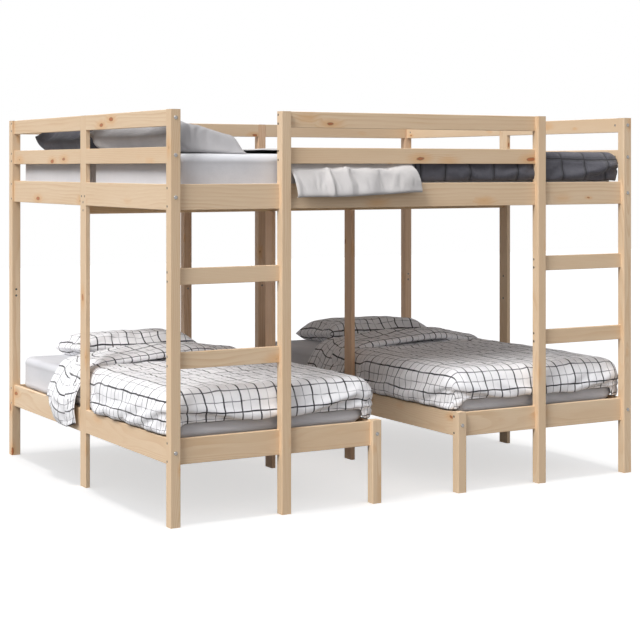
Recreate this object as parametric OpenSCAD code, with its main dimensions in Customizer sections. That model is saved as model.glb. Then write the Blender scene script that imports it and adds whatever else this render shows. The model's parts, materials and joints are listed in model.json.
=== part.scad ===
// Pine bunk bed: two single beds stand below, and one deck for two mattresses lies above.
// The origin is the middle of the front left post's foot. X runs along the front, Y to the back.

/* [Frame] */
// Outer length along the front
frame_l = 2054; // [1980:1:2200]
// Outer depth from the front posts to the back posts
frame_w = 1667; // [1600:1:1800]
// Height of the tall posts and of the top guard boards
frame_h = 1441; // [1400:1:1520]
// Outer width of each lower bed
low_bed_w = 855; // [800:1:900]
// Outer width of each ladder bay
ladder_w = 474; // [430:1:520]

/* [Posts] */
// Side of a square post
post_s = 38.5; // [34:0.5:46]
// Height of the two short posts beside the aisle
short_post_h = 307; // [304:1:330]
// Height of the joint between the lower and the upper half of a tall post
splice_z = 701; // [680:1:740]
// Rounding of the posts' long edges
post_edge = 3; // [1:0.5:5]
// Width of the planks that stand half way along the sides
plank_w = 58; // [50:1:70]

/* [Boards] */
// Thickness of every board
board_t = 18; // [16:0.5:22]
// Height of the bed rails
rail_h = 90; // [80:1:100]
// Height of the guard boards and the rungs
slim_h = 58; // [50:1:66]
// Rounding of the boards' long edges
board_edge = 2; // [1:0.5:4]
// Underside of the lower bed rails above the floor
low_rail_z = 212; // [180:1:214]
// Underside of the deck rails above the floor
deck_rail_z = 1092; // [1060:1:1110]
// Rise from one rung to the next, down from the top of the deck rail
step_rise = 291; // [260:1:300]

/* [Slats] */
// Width of a slat bearer
bearer_w = 20; // [16:1:28]
// Height of a slat bearer
bearer_h = 30; // [22:1:36]
// From the top of a lower bed rail down to the slats' seat
low_seat_drop = 27; // [20:1:34]
// From the top of a deck rail down to the slats' seat
deck_seat_drop = 45; // [40:1:50]
// Width of a slat
slat_w = 70; // [50:1:90]
// Thickness of a slat
slat_t = 12; // [10:1:18]
// Number of slats under each lower mattress
low_slats = 11; // [8:1:14]
// Number of slats under each deck mattress
deck_slats_n = 14; // [10:1:17]
// Gap between a slat's end and the rail beside it
slat_gap = 2; // [1:0.5:5]

/* [Fasteners] */
// Shank of a wood screw
screw_d = 5; // [4:0.5:6]
// Head of a wood screw
screw_head_d = 9; // [8:0.5:11]
// How far a wood screw bites into the board's end
screw_bite = 42; // [30:1:50]
// Half the distance between the two screws in a bed rail
rail_screw_half = 31.5; // [26:0.5:34]
// Half the distance between the two screws in a slim board
slim_screw_half = 16; // [12:0.5:18]
// Shank of a rail bolt
bolt_d = 6; // [5:0.5:7]
// Head of a rail bolt
bolt_head_d = 14; // [12:0.5:16]
// Height of a rail bolt's domed head
bolt_head_h = 3.6; // [3:0.2:5]
// From a board's end to its barrel nut
nut_reach = 30; // [24:1:36]
// Diameter of a barrel nut
nut_d = 10; // [9:0.5:12]
// Diameter of the wooden dowels
dowel_d = 8; // [6:0.5:9]
// How far a dowel goes into each piece
dowel_bite = 24; // [18:1:26]
// Diameter of the dowel inside a split post
splice_d = 14; // [10:1:18]
// Half the length of the dowel inside a split post
splice_half = 40; // [34:1:48]
// Half the distance between the lock screws of a split post
splice_screw_half = 13.5; // [10:0.5:20]
// Diameter of the dowel inside a split plank
plank_splice_d = 10; // [8:0.5:11]
// Half the length of the dowel inside a split plank
plank_splice_half = 66; // [60:1:80]
// Half the distance between the lock screws of a split plank
plank_screw_half = 50; // [40:1:54]
// Room around every fastener in its hole
fit = 0.3; // [0.2:0.05:0.5]

/* [Bedding] */
// Thickness of every mattress at its edge
mattress_t = 138; // [110:1:150]
// Rounding of a mattress corner seen from above
mattress_corner = 45; // [30:1:70]
// Room beside a lower mattress, where the duvet is tucked
low_side_gap = 14; // [10:1:24]
// Room at the foot of a lower mattress
low_foot_gap = 28; // [24:1:40]
// Room in front of the front deck mattress and at the deck's ends
deck_gap = 15; // [12:1:24]
// Gap between the two deck mattresses
deck_split = 12; // [8:1:24]
// Length of a lower pillow
pillow_l = 524; // [460:1:640]
// Depth of a lower pillow
pillow_w = 400; // [340:1:416]
// Thickness of a lower pillow
pillow_t = 108; // [86:1:120]
// How far a lower pillow is turned, seen from above
pillow_turn = 5; // [0:0.5:6]
// How far a lower pillow lies to the right of the bed's middle
pillow_shift = 2; // [0:1:46]
// Length of the deck's front pillow
front_pillow_l = 790; // [700:1:800]
// Length of the deck's back pillow
back_pillow_l = 630; // [560:1:700]
// Depth of a deck pillow
deck_pillow_w = 366; // [320:1:390]
// Thickness of a deck pillow
deck_pillow_t = 74; // [56:1:84]
// How far a duvet rises above the mattress
duvet_loft = 50; // [36:1:70]
// How far the turned back end of a duvet rises above the mattress
turned_loft = 82; // [60:1:95]
// Width of the turned back end of a duvet, at the flap
turned_w = 315; // [280:1:320]
// How much narrower the turned back end is at its other side
turned_skew = 70; // [60:1:110]
// How far the left duvet spills over the rail beside the aisle
aisle_spill = 41; // [20:1:44]
// How far a deck duvet rises above the mattress
deck_loft = 38; // [28:1:44]
// Lowest point of the flap that hangs over the side
flap_z = 214; // [190:1:240]
// Number of scallops along the sheet that hangs over the front of the deck
scallops = 6; // [4:1:8]

/* [Hidden] */

pine = "#dcc19a";
pine_dark = "#c9a67c";
steel = "#b9bcc0";
beech = "#c8a070";
sheet_grey = "#c9c9cb";
check_white = "#ececee";
charcoal = "#4a4c55";
pillow_grey = "#9c9da2";

// Outer faces of the frame, and the inner faces of the front and back posts
x_left = -post_s / 2;
x_right = x_left + frame_l;
y_front = -post_s / 2;
y_back = y_front + frame_w;
y_mid = (y_front + y_back) / 2;
y_in_front = y_front + post_s;
y_in_back = y_back - post_s;

// Left faces of the six front posts; the back row has posts 0, 2, 3 and 5
post_x = [
    x_left, x_left + ladder_w - post_s, x_left + low_bed_w - post_s,
    x_right - low_bed_w, x_right - ladder_w, x_right - post_s
];
// Front faces of the posts and of the lengthwise boards, for the front and the back row
FRONT = 0;
BACK = 1;
post_y = [y_front, y_in_back];
board_y = [y_in_front - board_t, y_in_back];
// Direction from each row towards the middle of the bed
inward = [1, -1];

// Heights
rail_top = low_rail_z + rail_h;
deck_rail_top = deck_rail_z + rail_h;
guard_top_z = frame_h - slim_h;
guard_mid_z = (deck_rail_top + guard_top_z - slim_h) / 2;
guards = [guard_mid_z, guard_top_z];
rungs = [for (k = [2, 1]) deck_rail_top - k * step_rise - slim_h];
low_seat_z = rail_top - low_seat_drop;
deck_seat_z = deck_rail_top - deck_seat_drop;
cap_z = deck_seat_z - board_t;
web_z = cap_z - slim_h - 2;
big = 1000;

// Left face of the crosswise boards and planks, which stand in the middle of a post's width
function line_x(i) = post_x[i] + (post_s - board_t) / 2;
function mid(a, b) = (a + b) / 2;
function blend(a, b, t) = a + (b - a) * t;
function spread(h) = h == rail_h ? rail_screw_half : slim_screw_half;

// Lengthwise boards: row, post at the left end, post at the right end, underside, height
low_left_ends = [[FRONT, 0, 1, low_rail_z, rail_h], [FRONT, 1, 2, low_rail_z, rail_h],
    [BACK, 0, 2, low_rail_z, rail_h]];
low_right_ends = [[FRONT, 3, 4, low_rail_z, rail_h], [FRONT, 4, 5, low_rail_z, rail_h],
    [BACK, 3, 5, low_rail_z, rail_h]];
deck_front = [for (s = [[0, 1], [1, 4], [4, 5]]) [FRONT, s[0], s[1], deck_rail_z, rail_h]];
back_spans = [[0, 2], [2, 3], [3, 5]];
deck_back = [for (s = back_spans) [BACK, s[0], s[1], deck_rail_z, rail_h]];
guard_front_set = [for (z = guards) [FRONT, 1, 4, z, slim_h]];
guard_back_set = [for (z = guards, s = back_spans) [BACK, s[0], s[1], z, slim_h]];
rungs_left = [for (z = rungs) [FRONT, 0, 1, z, slim_h]];
rungs_right = [for (z = rungs) [FRONT, 4, 5, z, slim_h]];
long_boards = concat(low_left_ends, low_right_ends, deck_front, deck_back, guard_front_set,
    guard_back_set, rungs_left, rungs_right);

// Crosswise boards: post, row that the board runs to, underside, height
function cross_pair(i, z, h) = [for (row = [FRONT, BACK]) [i, row, z, h]];
low_left_sides = [for (i = [0, 2]) each cross_pair(i, low_rail_z, rail_h)];
low_right_sides = [for (i = [3, 5]) each cross_pair(i, low_rail_z, rail_h)];
function deck_side(i) = cross_pair(i, deck_rail_z, rail_h);
function guard_side(i) = [for (z = guards) each cross_pair(i, z, slim_h)];
cross_boards = concat(low_left_sides, low_right_sides, deck_side(0), deck_side(5),
    guard_side(0), guard_side(5));

// Lowest and highest corner of each kind of piece
function long_box(b) = [
    [post_x[b[1]] + post_s, board_y[b[0]], b[3]],
    [post_x[b[2]], board_y[b[0]] + board_t, b[3] + b[4]]
];
function cross_box(b) = let (
    y_plank = y_mid - inward[b[1]] * plank_w / 2,
    y_post = b[1] == FRONT ? y_in_front : y_in_back
) [
    [line_x(b[0]), min(y_plank, y_post), b[2]],
    [line_x(b[0]) + board_t, max(y_plank, y_post), b[2] + b[3]]
];
function post_box(i, row, z1, z2) = [[post_x[i], post_y[row], z1],
    [post_x[i] + post_s, post_y[row] + post_s, z2]];
function plank_box(i, z1, z2) = [
    [line_x(i), y_mid - plank_w / 2, z1],
    [line_x(i) + board_t, y_mid + plank_w / 2, z2]
];
beam_x1 = line_x(0) + board_t;
beam_x2 = line_x(5);
beam_joint = 0.1;
web_box = [[beam_x1, y_mid - board_t / 2, web_z], [beam_x2, y_mid + board_t / 2, cap_z - beam_joint]];
cap_box = [[beam_x1, y_mid - plank_w / 2, cap_z], [beam_x2, y_mid + plank_w / 2, deck_seat_z]];
function low_bearer_box(i, side) = let (x = side > 0 ? line_x(i) + board_t : line_x(i) - bearer_w) [
    [x, y_in_front, low_seat_z - bearer_h],
    [x + bearer_w, y_in_back, low_seat_z]
];
function deck_bearer_box(row) = let (y = row == FRONT ? y_in_front : y_in_back - bearer_w) [
    [beam_x1, y, deck_seat_z - bearer_h],
    [beam_x2, y + bearer_w, deck_seat_z]
];
low_bearers = [for (a = [[0, 1], [2, -1], [3, 1], [5, -1]]) low_bearer_box(a[0], a[1])];
deck_bearers = [for (row = [FRONT, BACK]) deck_bearer_box(row)];

// A wood screw is its head's place, its direction and its length
function starts_at(row, i, z) =
    len([for (b = long_boards) if (b[0] == row && b[1] == i && b[3] == z) b]) > 0;
function ends_at(row, i, z) = len([for (b = long_boards) if (b[0] == row && b[2] == i && b[3] == z) b]) > 0;
end_screws = [for (b = long_boards, s = [-1, 1]) let (
    y = board_y[b[0]] + board_t / 2,
    z = b[3] + b[4] / 2 + s * spread(b[4])
) each concat(
    ends_at(b[0], b[1], b[3]) ? [] : [[[post_x[b[1]], y, z], [1, 0, 0], post_s + screw_bite]],
    starts_at(b[0], b[2], b[3]) ? [] : [[[post_x[b[2]] + post_s, y, z], [-1, 0, 0], post_s + screw_bite]]
)];
// Lock screws of the split posts come in from the inner faces
split_posts = concat([for (i = [0, 1, 4, 5]) [i, FRONT]], [for (i = [0, 2, 3, 5]) [i, BACK]]);
lock_screws = [for (p = split_posts, s = [-1, 1]) [
    [post_x[p[0]] + post_s / 2, p[1] == FRONT ? y_in_front : y_in_back, splice_z + s * splice_screw_half],
    [0, -inward[p[1]], 0], post_s * 0.8
]];
function inner_face(i) = i == 0 ? line_x(i) + board_t : line_x(i);
function outer_face(i) = i == 0 ? line_x(i) : line_x(i) + board_t;
function side_dir(i) = i == 0 ? 1 : -1;
plank_screws = [for (i = [0, 5], s = [-1, 1]) [
    [inner_face(i), y_mid, splice_z + s * plank_screw_half], [-side_dir(i), 0, 0], board_t * 0.8
]];
beam_screws = [for (i = [0, 5], s = [-1, 1]) each [
    [[outer_face(i), y_mid, mid(web_z, cap_z) + s * slim_screw_half], [side_dir(i), 0, 0],
        board_t + screw_bite],
    [[outer_face(i), y_mid + s * slim_screw_half, cap_z + board_t / 2], [side_dir(i), 0, 0],
        board_t + screw_bite]
]];
cap_screw_n = 7;
cap_screws = [for (k = [1 : cap_screw_n]) [
    [blend(beam_x1, beam_x2, (k - 0.5) / cap_screw_n), y_mid, deck_seat_z], [0, 0, -1],
    board_t + slim_h * 0.5
]];
wood_screw_set = concat(end_screws, lock_screws, plank_screws, beam_screws, cap_screws);

// A bolt is its head's seat and its direction; its barrel nut sits nut_reach into the board
bolts = [for (b = cross_boards) [
    [post_x[b[0]] + post_s / 2, b[1] == FRONT ? y_front : y_back, b[2] + b[3] / 2], inward[b[1]], b[0]
]];
bolt_l = post_s + nut_reach + 8;
nut_l = board_t - 4;

// A dowel is its two ends and its diameter
through_dowels = [for (b = long_boards, s = [-1, 1]) if (ends_at(b[0], b[1], b[3])) let (
    x = post_x[b[1]], y = board_y[b[0]] + board_t / 2, z = b[3] + b[4] / 2 + s * spread(b[4]) * 0.8
) [[x - dowel_bite, y, z], [x + post_s + dowel_bite, y, z], dowel_d]];
plank_dowels = [for (b = cross_boards, s = [-1, 1]) let (
    y = y_mid - inward[b[1]] * plank_w / 2, z = b[2] + b[3] / 2 + s * spread(b[3]) * 0.8
) [[line_x(b[0]) + board_t / 2, y - dowel_bite, z],
    [line_x(b[0]) + board_t / 2, y + dowel_bite, z], dowel_d]];
post_dowels = [for (p = split_posts) let (x = post_x[p[0]] + post_s / 2, y = post_y[p[1]] + post_s / 2)
    [[x, y, splice_z - splice_half], [x, y, splice_z + splice_half], splice_d]];
split_plank_dowels = [for (i = [0, 5]) let (x = line_x(i) + board_t / 2)
    [[x, y_mid, splice_z - plank_splice_half], [x, y_mid, splice_z + plank_splice_half], plank_splice_d]];
prop_dowels = [for (i = [2, 3]) let (x = line_x(i) + board_t / 2)
    [[x, y_mid, web_z - dowel_bite], [x, y_mid, web_z + dowel_bite], dowel_d]];
dowel_set = concat(through_dowels, plank_dowels, post_dowels, split_plank_dowels, prop_dowels);

// Whether the straight line from p to q comes near a box
function near(p, q, box) = let (r = 8) min([for (k = [0 : 2])
    (max(p[k], q[k]) + r > box[0][k] && min(p[k], q[k]) - r < box[1][k]) ? 1 : 0]) > 0;

// Turns a shape that lies along Z so that it points along a given axis
module aim(p, dir) {
    turn = dir[0] != 0 ? [0, 90 * dir[0], 0] : dir[1] != 0 ? [-90 * dir[1], 0, 0]
        : dir[2] < 0 ? [180, 0, 0] : [0, 0, 0];
    translate(p) rotate(turn) children();
}

// Outline of a bar's section with rounded corners
module section(w, h, r) {
    square([w - 2 * r, h], center = true);
    square([w, h - 2 * r], center = true);
    for (x = [-1, 1], y = [-1, 1]) translate([x * (w / 2 - r), y * (h / 2 - r)]) circle(r, $fn = 24);
}

// A bar of wood that fills a box, with the edges rounded along its axis
module bar(box, axis, r) {
    lo = box[0];
    d = box[1] - box[0];
    c = lo + d / 2;
    if (axis == "x")
        translate([lo[0], c[1], c[2]]) rotate([90, 0, 90])
            linear_extrude(d[0]) section(d[1], d[2], r);
    if (axis == "y")
        translate([c[0], lo[1] + d[1], c[2]]) rotate([90, 0, 0])
            linear_extrude(d[1]) section(d[0], d[2], r);
    if (axis == "z") translate([c[0], c[1], lo[2]]) linear_extrude(d[2]) section(d[0], d[1], r);
}

head_sink = 0.5;
head_h = (screw_head_d - screw_d) / 2 + 1;
// A countersunk screw that points along Z, from its head at z = 0
module screw(l, grow) {
    r1 = screw_head_d / 2 + grow;
    r2 = screw_d / 2 + grow;
    top = grow > 0 ? -1 : head_sink;
    tip = grow > 0 ? 1 : 0;
    rotate_extrude($fn = 24) polygon([
        [0, top], [r1, top], [r1, head_sink + 1], [r2, head_sink + head_h],
        [r2, l - 4 + tip], [1.5 + grow, l + tip], [0, l + tip]
    ]);
}

module bolt(grow) {
    r = bolt_head_d / 2;
    dome = [for (a = [10 : 20 : 90]) [r * cos(a), -bolt_head_h * (0.35 + 0.65 * sin(a))]];
    if (grow > 0) translate([0, 0, -1]) cylinder(r = bolt_d / 2 + grow, h = bolt_l + 3, $fn = 24);
    else rotate_extrude($fn = 24) polygon(concat(
        [[0, bolt_l], [bolt_d / 2, bolt_l], [bolt_d / 2, 0], [r, 0], [r, -bolt_head_h * 0.35]], dome));
}

// Every hole that the fasteners need in the piece that fills a box
module holes(box) {
    for (s = wood_screw_set) if (near(s[0], s[0] + s[1] * s[2], box)) aim(s[0], s[1]) screw(s[2], fit);
    for (b = bolts) if (near(b[0], b[0] + [0, b[1] * bolt_l, 0], box)) {
        aim(b[0], [0, b[1], 0]) bolt(fit);
        nut_cut(b);
    }
    for (d = dowel_set) if (near(d[0], d[1], box)) {
        v = d[1] - d[0];
        l = norm(v);
        aim(d[0] - v / l, v / l) cylinder(d = d[2] + 2 * fit, h = l + 2, $fn = 24);
    }
}

// The barrel nut's blind hole, open on the side that faces the mattress
function nut_dir(i) = (i == 0 || i == 3) ? 1 : -1;
function nut_face(i) = nut_dir(i) > 0 ? line_x(i) + board_t : line_x(i);
function nut_place(b) = [nut_face(b[2]), b[0][1] + b[1] * (post_s + nut_reach), b[0][2]];
module nut_cut(b) {
    aim(nut_place(b) + [nut_dir(b[2]), 0, 0], [-nut_dir(b[2]), 0, 0])
        cylinder(d = nut_d + 2 * fit, h = nut_l + 2.5, $fn = 32);
}

module wood(box, axis, r, tone = pine) {
    color(tone) difference() {
        bar(box, axis, r);
        holes(box);
    }
}
module post_part(i, row, z1, z2) { wood(post_box(i, row, z1, z2), "z", post_edge); }
module lower_half(i, row) { post_part(i, row, 0, splice_z); }
module upper_half(i, row) { post_part(i, row, splice_z, frame_h); }
module plank_part(i, z1, z2) { wood(plank_box(i, z1, z2), "z", board_edge); }
module long_set(set) { for (b = set) wood(long_box(b), "x", board_edge); }
module cross_set(set) { for (b = set) wood(cross_box(b), "y", board_edge); }

module centre_beam() {
    wood(web_box, "x", board_edge, pine_dark);
    wood(cap_box, "x", board_edge, pine_dark);
}

module slat_bearers() {
    for (b = low_bearers) wood(b, "y", board_edge, pine_dark);
    for (b = deck_bearers) wood(b, "x", board_edge, pine_dark);
}

// Slats across a lower bed, from one side rail to the other
module low_slat_set(left, right) {
    for (k = [0 : low_slats - 1]) {
        y = blend(y_in_front + slat_w, y_in_back - slat_w, k / (low_slats - 1));
        color(pine) bar([
            [line_x(left) + board_t + slat_gap, y - slat_w / 2, low_seat_z],
            [line_x(right) - slat_gap, y + slat_w / 2, low_seat_z + slat_t]
        ], "x", board_edge);
    }
}

// Slats of the deck run from the front and the back bearer to the centre beam
module deck_slat_set() {
    for (k = [0 : deck_slats_n - 1], row = [FRONT, BACK]) {
        x = blend(beam_x1 + slat_w, beam_x2 - slat_w, k / (deck_slats_n - 1));
        y1 = row == FRONT ? y_in_front + slat_gap : y_mid + slat_gap / 2;
        y2 = row == FRONT ? y_mid - slat_gap / 2 : y_in_back - slat_gap;
        color(pine) bar([
            [x - slat_w / 2, y1, deck_seat_z], [x + slat_w / 2, y2, deck_seat_z + slat_t]
        ], "y", board_edge);
    }
}

module wood_screws() {
    color(steel) for (s = wood_screw_set) aim(s[0], s[1]) screw(s[2], 0);
}
module rail_bolts() {
    color(steel) for (b = bolts) aim(b[0], [0, b[1], 0]) bolt(0);
}
// Each barrel nut is bored across for its bolt
module barrel_nuts() {
    color(steel) for (b = bolts) difference() {
        aim(nut_place(b) - [nut_dir(b[2]), 0, 0], [-nut_dir(b[2]), 0, 0])
            cylinder(d = nut_d, h = nut_l, $fn = 32);
        translate(nut_place(b) - [nut_dir(b[2]) * board_t / 2, nut_d, 0]) rotate([-90, 0, 0])
            cylinder(d = bolt_d + 2 * fit, h = 2 * nut_d, $fn = 24);
    }
}
// The dowels inside split posts and planks are bored across for their lock screws
module dowels() {
    color(beech) for (d = dowel_set) {
        v = d[1] - d[0];
        l = norm(v);
        r = d[2] / 2;
        difference() {
            aim(d[0] + v / l * 0.5, v / l) cylinder(r = r, h = l - 1, $fn = 24);
            for (s = concat(lock_screws, plank_screws))
                if (near(s[0], s[0] + s[1] * s[2], [d[0] - [r, r, 0], d[1] + [r, r, 0]]))
                    aim(s[0], s[1]) screw(s[2], fit);
        }
    }
}

// Soft forms. A skin closes a stack of rings, which all have as many points,
// and each ring turns left as seen from above
function middle(ring) = [for (k = [0 : 2]) mid(min([for (p = ring) p[k]]), max([for (p = ring) p[k]]))];
module skin(rings) {
    n = len(rings[0]);
    m = len(rings);
    points = concat([for (r = rings) each r], [middle(rings[0]), middle(rings[m - 1])]);
    sides = [for (k = [0 : m - 2], i = [0 : n - 1]) let (a = k * n + i, b = k * n + (i + 1) % n)
        each [[a, a + n, b + n], [a, b + n, b]]];
    ends = [for (i = [0 : n - 1]) let (j = (i + 1) % n, t = (m - 1) * n)
        each [[i, j, m * n], [t + j, t + i, m * n + 1]]];
    polyhedron(points, concat(sides, ends));
}

// Rounded rectangle of half sizes a and b: each point is x, y and its outward direction.
// The long sides and the short sides are cut into nb and na steps
quarter = 90;
function corner(cx, cy, r, turn, n) = [for (i = [0 : n - 1]) let (t = turn + quarter * i / n)
    [cx + r * cos(t), cy + r * sin(t), cos(t), sin(t)]];
function edge(p, q, dir, n) = [for (i = [1 : n - 1])
    [blend(p[0], q[0], i / n), blend(p[1], q[1], i / n), dir[0], dir[1]]];
function outline(a, b, r, na, nb, nc) = concat(
    corner(a - r, b - r, r, 0, nc), [[a - r, b, 0, 1]], edge([a - r, b], [r - a, b], [0, 1], na),
    corner(r - a, b - r, r, 90, nc), [[-a, b - r, -1, 0]], edge([-a, b - r], [-a, r - b], [-1, 0], nb),
    corner(r - a, r - b, r, 180, nc), [[r - a, -b, 0, -1]], edge([r - a, -b], [a - r, -b], [0, -1], na),
    corner(a - r, r - b, r, 270, nc), [[a, r - b, 1, 0]], edge([a, r - b], [a, b - r], [1, 0], nb)
);

// A mattress: taped edges at top and bottom, sides drawn in a little between them, a low crown
mattress_crown = 4;
mattress_tuck = 3;
crown_flat = 0.6;
module mattress(box) {
    c = [mid(box[0][0], box[1][0]), mid(box[0][1], box[1][1])];
    a = (box[1][0] - box[0][0]) / 2;
    b = (box[1][1] - box[0][1]) / 2;
    z1 = box[0][2];
    z2 = box[1][2];
    e = mattress_t * 0.14;
    o = outline(a, b, mattress_corner, 1, 1, 5);
    steps = [[-e, 0], [-e * 0.3, e * 0.3], [0, e], [-mattress_tuck, mid(0, z2 - z1)],
        [0, z2 - z1 - e], [-e * 0.3, z2 - z1 - e * 0.3], [-e, z2 - z1]];
    top = [for (p = o) [c[0] + p[0] * crown_flat, c[1] + p[1] * crown_flat, z2 + mattress_crown]];
    rings = [for (s = steps) [for (p = o)
        [c[0] + p[0] + p[2] * s[0], c[1] + p[1] + p[3] * s[0], z1 + s[1]]]];
    skin(concat(rings, [top]));
}

soft_gap = 0.4;
low_top = low_seat_z + slat_t + soft_gap + mattress_t;
deck_top = deck_seat_z + slat_t + soft_gap + mattress_t;
function low_mattress_box(left, right) = [
    [line_x(left) + board_t + low_side_gap, y_in_front + low_foot_gap, low_top - mattress_t],
    [line_x(right) - low_side_gap, y_in_back - 2, low_top]
];
deck_front_box = [[beam_x1 + deck_gap, y_in_front + deck_gap, deck_top - mattress_t],
    [beam_x2 - deck_gap, y_mid - deck_split / 2, deck_top]];
deck_back_box = [[beam_x1 + deck_gap, y_mid + deck_split / 2, deck_top - mattress_t],
    [beam_x2 - deck_gap, y_in_back - 2, deck_top]];
module low_mattress(left, right) { color(sheet_grey) mattress(low_mattress_box(left, right)); }

// A pillow is fullest in the middle, thins to a seam all round and its sides pull in between the corners
pillow_steps = 5;
pillow_rings = [for (k = [1 : pillow_steps]) sin(90 * k / pillow_steps)];
// Place along its ring of the point nearest to the middle of a side
pillow_round = 0.12;
pillow_near = (1 - pillow_round) / pillow_steps;
pillow_waist = 0.09;
pillow_under = 0.8;
function bulge(x, y) = pow(max(0, (1 - x * x) * (1 - y * y)), 0.42);
module pillow(l, w, t) {
    square_ring = outline(1, 1, pillow_round, pillow_steps, pillow_steps, 1);
    function place(p, q, side) = let (x = p[0] * q, y = p[1] * q) [
        l / 2 * x * (1 - 0.07 * (1 - y * y)), w / 2 * y * (1 - pillow_waist * (1 - x * x)),
        side * t / 2 * bulge(x, y) * (side < 0 ? pillow_under : 1)
    ];
    skin(concat(
        [for (q = pillow_rings) [for (p = square_ring) place(p, q, -1)]],
        [for (k = [pillow_steps - 2 : -1 : 0]) [for (p = square_ring) place(p, pillow_rings[k], 1)]]
    ));
}
// A mattress top's rise above its rim, at a distance u from its middle
function crown(u, half) = mattress_crown * min(1, max(0, (half - abs(u)) / half / (1 - crown_flat)));
// How far above the rim a pillow's middle lies when it is tilted and set down at a distance u
function rest_h(u, half, w, t, tilt) = soft_gap + max([for (q = pillow_rings, y = [-q, q])
    let (x = pillow_near * q, v = y * w / 2 * (1 - pillow_waist * (1 - x * x)))
        crown(u + v * cos(tilt), half) + v * sin(tilt) + t / 2 * pillow_under * bulge(x, y) * cos(tilt)]);

low_tilt = 4;
pillow_room = 5;
module low_pillow(left, right) {
    box = low_mattress_box(left, right);
    y = y_in_back - pillow_room - (pillow_w * cos(pillow_turn) + pillow_l * sin(pillow_turn)) / 2;
    half = (box[1][1] - box[0][1]) / 2;
    z = low_top + rest_h(y - mid(box[0][1], box[1][1]), half, pillow_w, pillow_t, low_tilt);
    color(check_white) translate([mid(box[0][0], box[1][0]) + pillow_shift, y, z])
        rotate([-low_tilt, 0, 0]) rotate([0, 0, -pillow_turn]) pillow(pillow_l, pillow_w, pillow_t);
}
// The deck's pillows are flatter and lean on the guard at the left end, one behind the other
lean = 17;
deck_pillow_y = y_in_front + 27;
deck_pillow_gap = 14;
module deck_pillow(y, l, tone) {
    x = beam_x1 + 4 + deck_pillow_w / 2 * cos(lean);
    half = (deck_front_box[1][0] - deck_front_box[0][0]) / 2;
    z = deck_top + rest_h(x - mid(beam_x1, beam_x2), half, deck_pillow_w, deck_pillow_t, lean);
    color(tone) translate([x, y + l / 2, z])
        rotate([0, lean, 0]) rotate([0, 0, 90]) pillow(l, deck_pillow_w, deck_pillow_t);
}

// A duvet lies on a mattress top at z and hangs down its sides. Two lists hold the hem's height and the
// cloth's thickness at the left, right, front and back side. The last list holds how much further it
// spills over the left and the right rail, short of the plank half way
spill_fade = 80;
spill_end = y_mid - plank_w / 2 - spill_fade - 10;
module duvet(box, z, hems, thick, loft, spill) {
    c = [mid(box[0][0], box[1][0]), mid(box[0][1], box[1][1])];
    a = (box[1][0] - box[0][0]) / 2;
    b = (box[1][1] - box[0][1]) / 2;
    o = outline(a, b, mattress_corner, 6, 8, 4);
    function side(p, v) = let (x = p[2], y = p[3])
        (x < 0 ? v[0] : v[1]) * x * x + (y < 0 ? v[2] : v[3]) * y * y;
    function wave(p) = sin(p[0] * 0.9) * sin(p[1] * 0.8 + 40);
    function fade(y) = min(1, max(0, (spill_end - y) / spill_fade));
    function wide(p) = (p[2] < 0 ? spill[0] : spill[1]) * p[2] * p[2] * fade(c[1] + p[1]);
    function out(p, share) = let (d = (side(p, thick) + wide(p)) * share)
        [c[0] + p[0] + p[2] * d, c[1] + p[1] + p[3] * d];
    function at(q, h) = [q[0], q[1], h];
    under = z + soft_gap + mattress_crown;
    function puff(p, q) = under + loft * (0.93 + 0.07 * wave([p[0] * q, p[1] * q]));
    skin(concat(
        [[for (p = o) [c[0] + p[0] * 0.5, c[1] + p[1] * 0.5, under + 1]]],
        [[for (p = o) [c[0] + p[0] + p[2] * 1, c[1] + p[1] + p[3] * 1, under + 1]]],
        [[for (p = o) [c[0] + p[0] + p[2] * 1, c[1] + p[1] + p[3] * 1, side(p, hems)]]],
        [[for (p = o) at(out(p, 0.85), side(p, hems) - 1)]],
        [[for (p = o) at(out(p, 1), blend(side(p, hems), under + loft * 0.3, 0.3))]],
        [[for (p = o) at(out(p, 1), blend(side(p, hems), under + loft * 0.3, 0.75))]],
        [[for (p = o) at(out(p, 0.4), under + loft * 0.55)]],
        [[for (p = o) [c[0] + p[0] * 0.9, c[1] + p[1] * 0.94, puff(p, 0.9) - loft * 0.14]]],
        [[for (p = o) [c[0] + p[0] * 0.66, c[1] + p[1] * 0.7, puff(p, 0.66)]]],
        [[for (p = o) [c[0] + p[0] * 0.34, c[1] + p[1] * 0.36, puff(p, 0.34)]]]
    ));
}

// A band of cloth: two sheets of points, station by station, closed at its edges.
// The path turns right of the stations' direction as seen from the outer sheet
module band(outer, inner) {
    n = len(outer);
    m = len(outer[0]);
    function o(j, i) = j * m + i;
    function u(j, i) = n * m + j * m + i;
    faces = concat(
        [for (j = [0 : n - 2], i = [0 : m - 2]) each [
            [o(j, i), o(j + 1, i), o(j + 1, i + 1)], [o(j, i), o(j + 1, i + 1), o(j, i + 1)],
            [u(j, i), u(j + 1, i + 1), u(j + 1, i)], [u(j, i), u(j, i + 1), u(j + 1, i + 1)]
        ]],
        [for (j = [0 : n - 2]) each [
            [o(j + 1, 0), o(j, 0), u(j, 0)], [o(j + 1, 0), u(j, 0), u(j + 1, 0)],
            [o(j, m - 1), o(j + 1, m - 1), u(j + 1, m - 1)], [o(j, m - 1), u(j + 1, m - 1), u(j, m - 1)]
        ]],
        [for (i = [0 : m - 2]) each [
            [o(0, i), o(0, i + 1), u(0, i + 1)], [o(0, i), u(0, i + 1), u(0, i)],
            [o(n - 1, i + 1), o(n - 1, i), u(n - 1, i)], [o(n - 1, i + 1), u(n - 1, i), u(n - 1, i + 1)]
        ]]
    );
    polyhedron(concat([for (r = outer) each r], [for (r = inner) each r]), faces);
}

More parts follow.
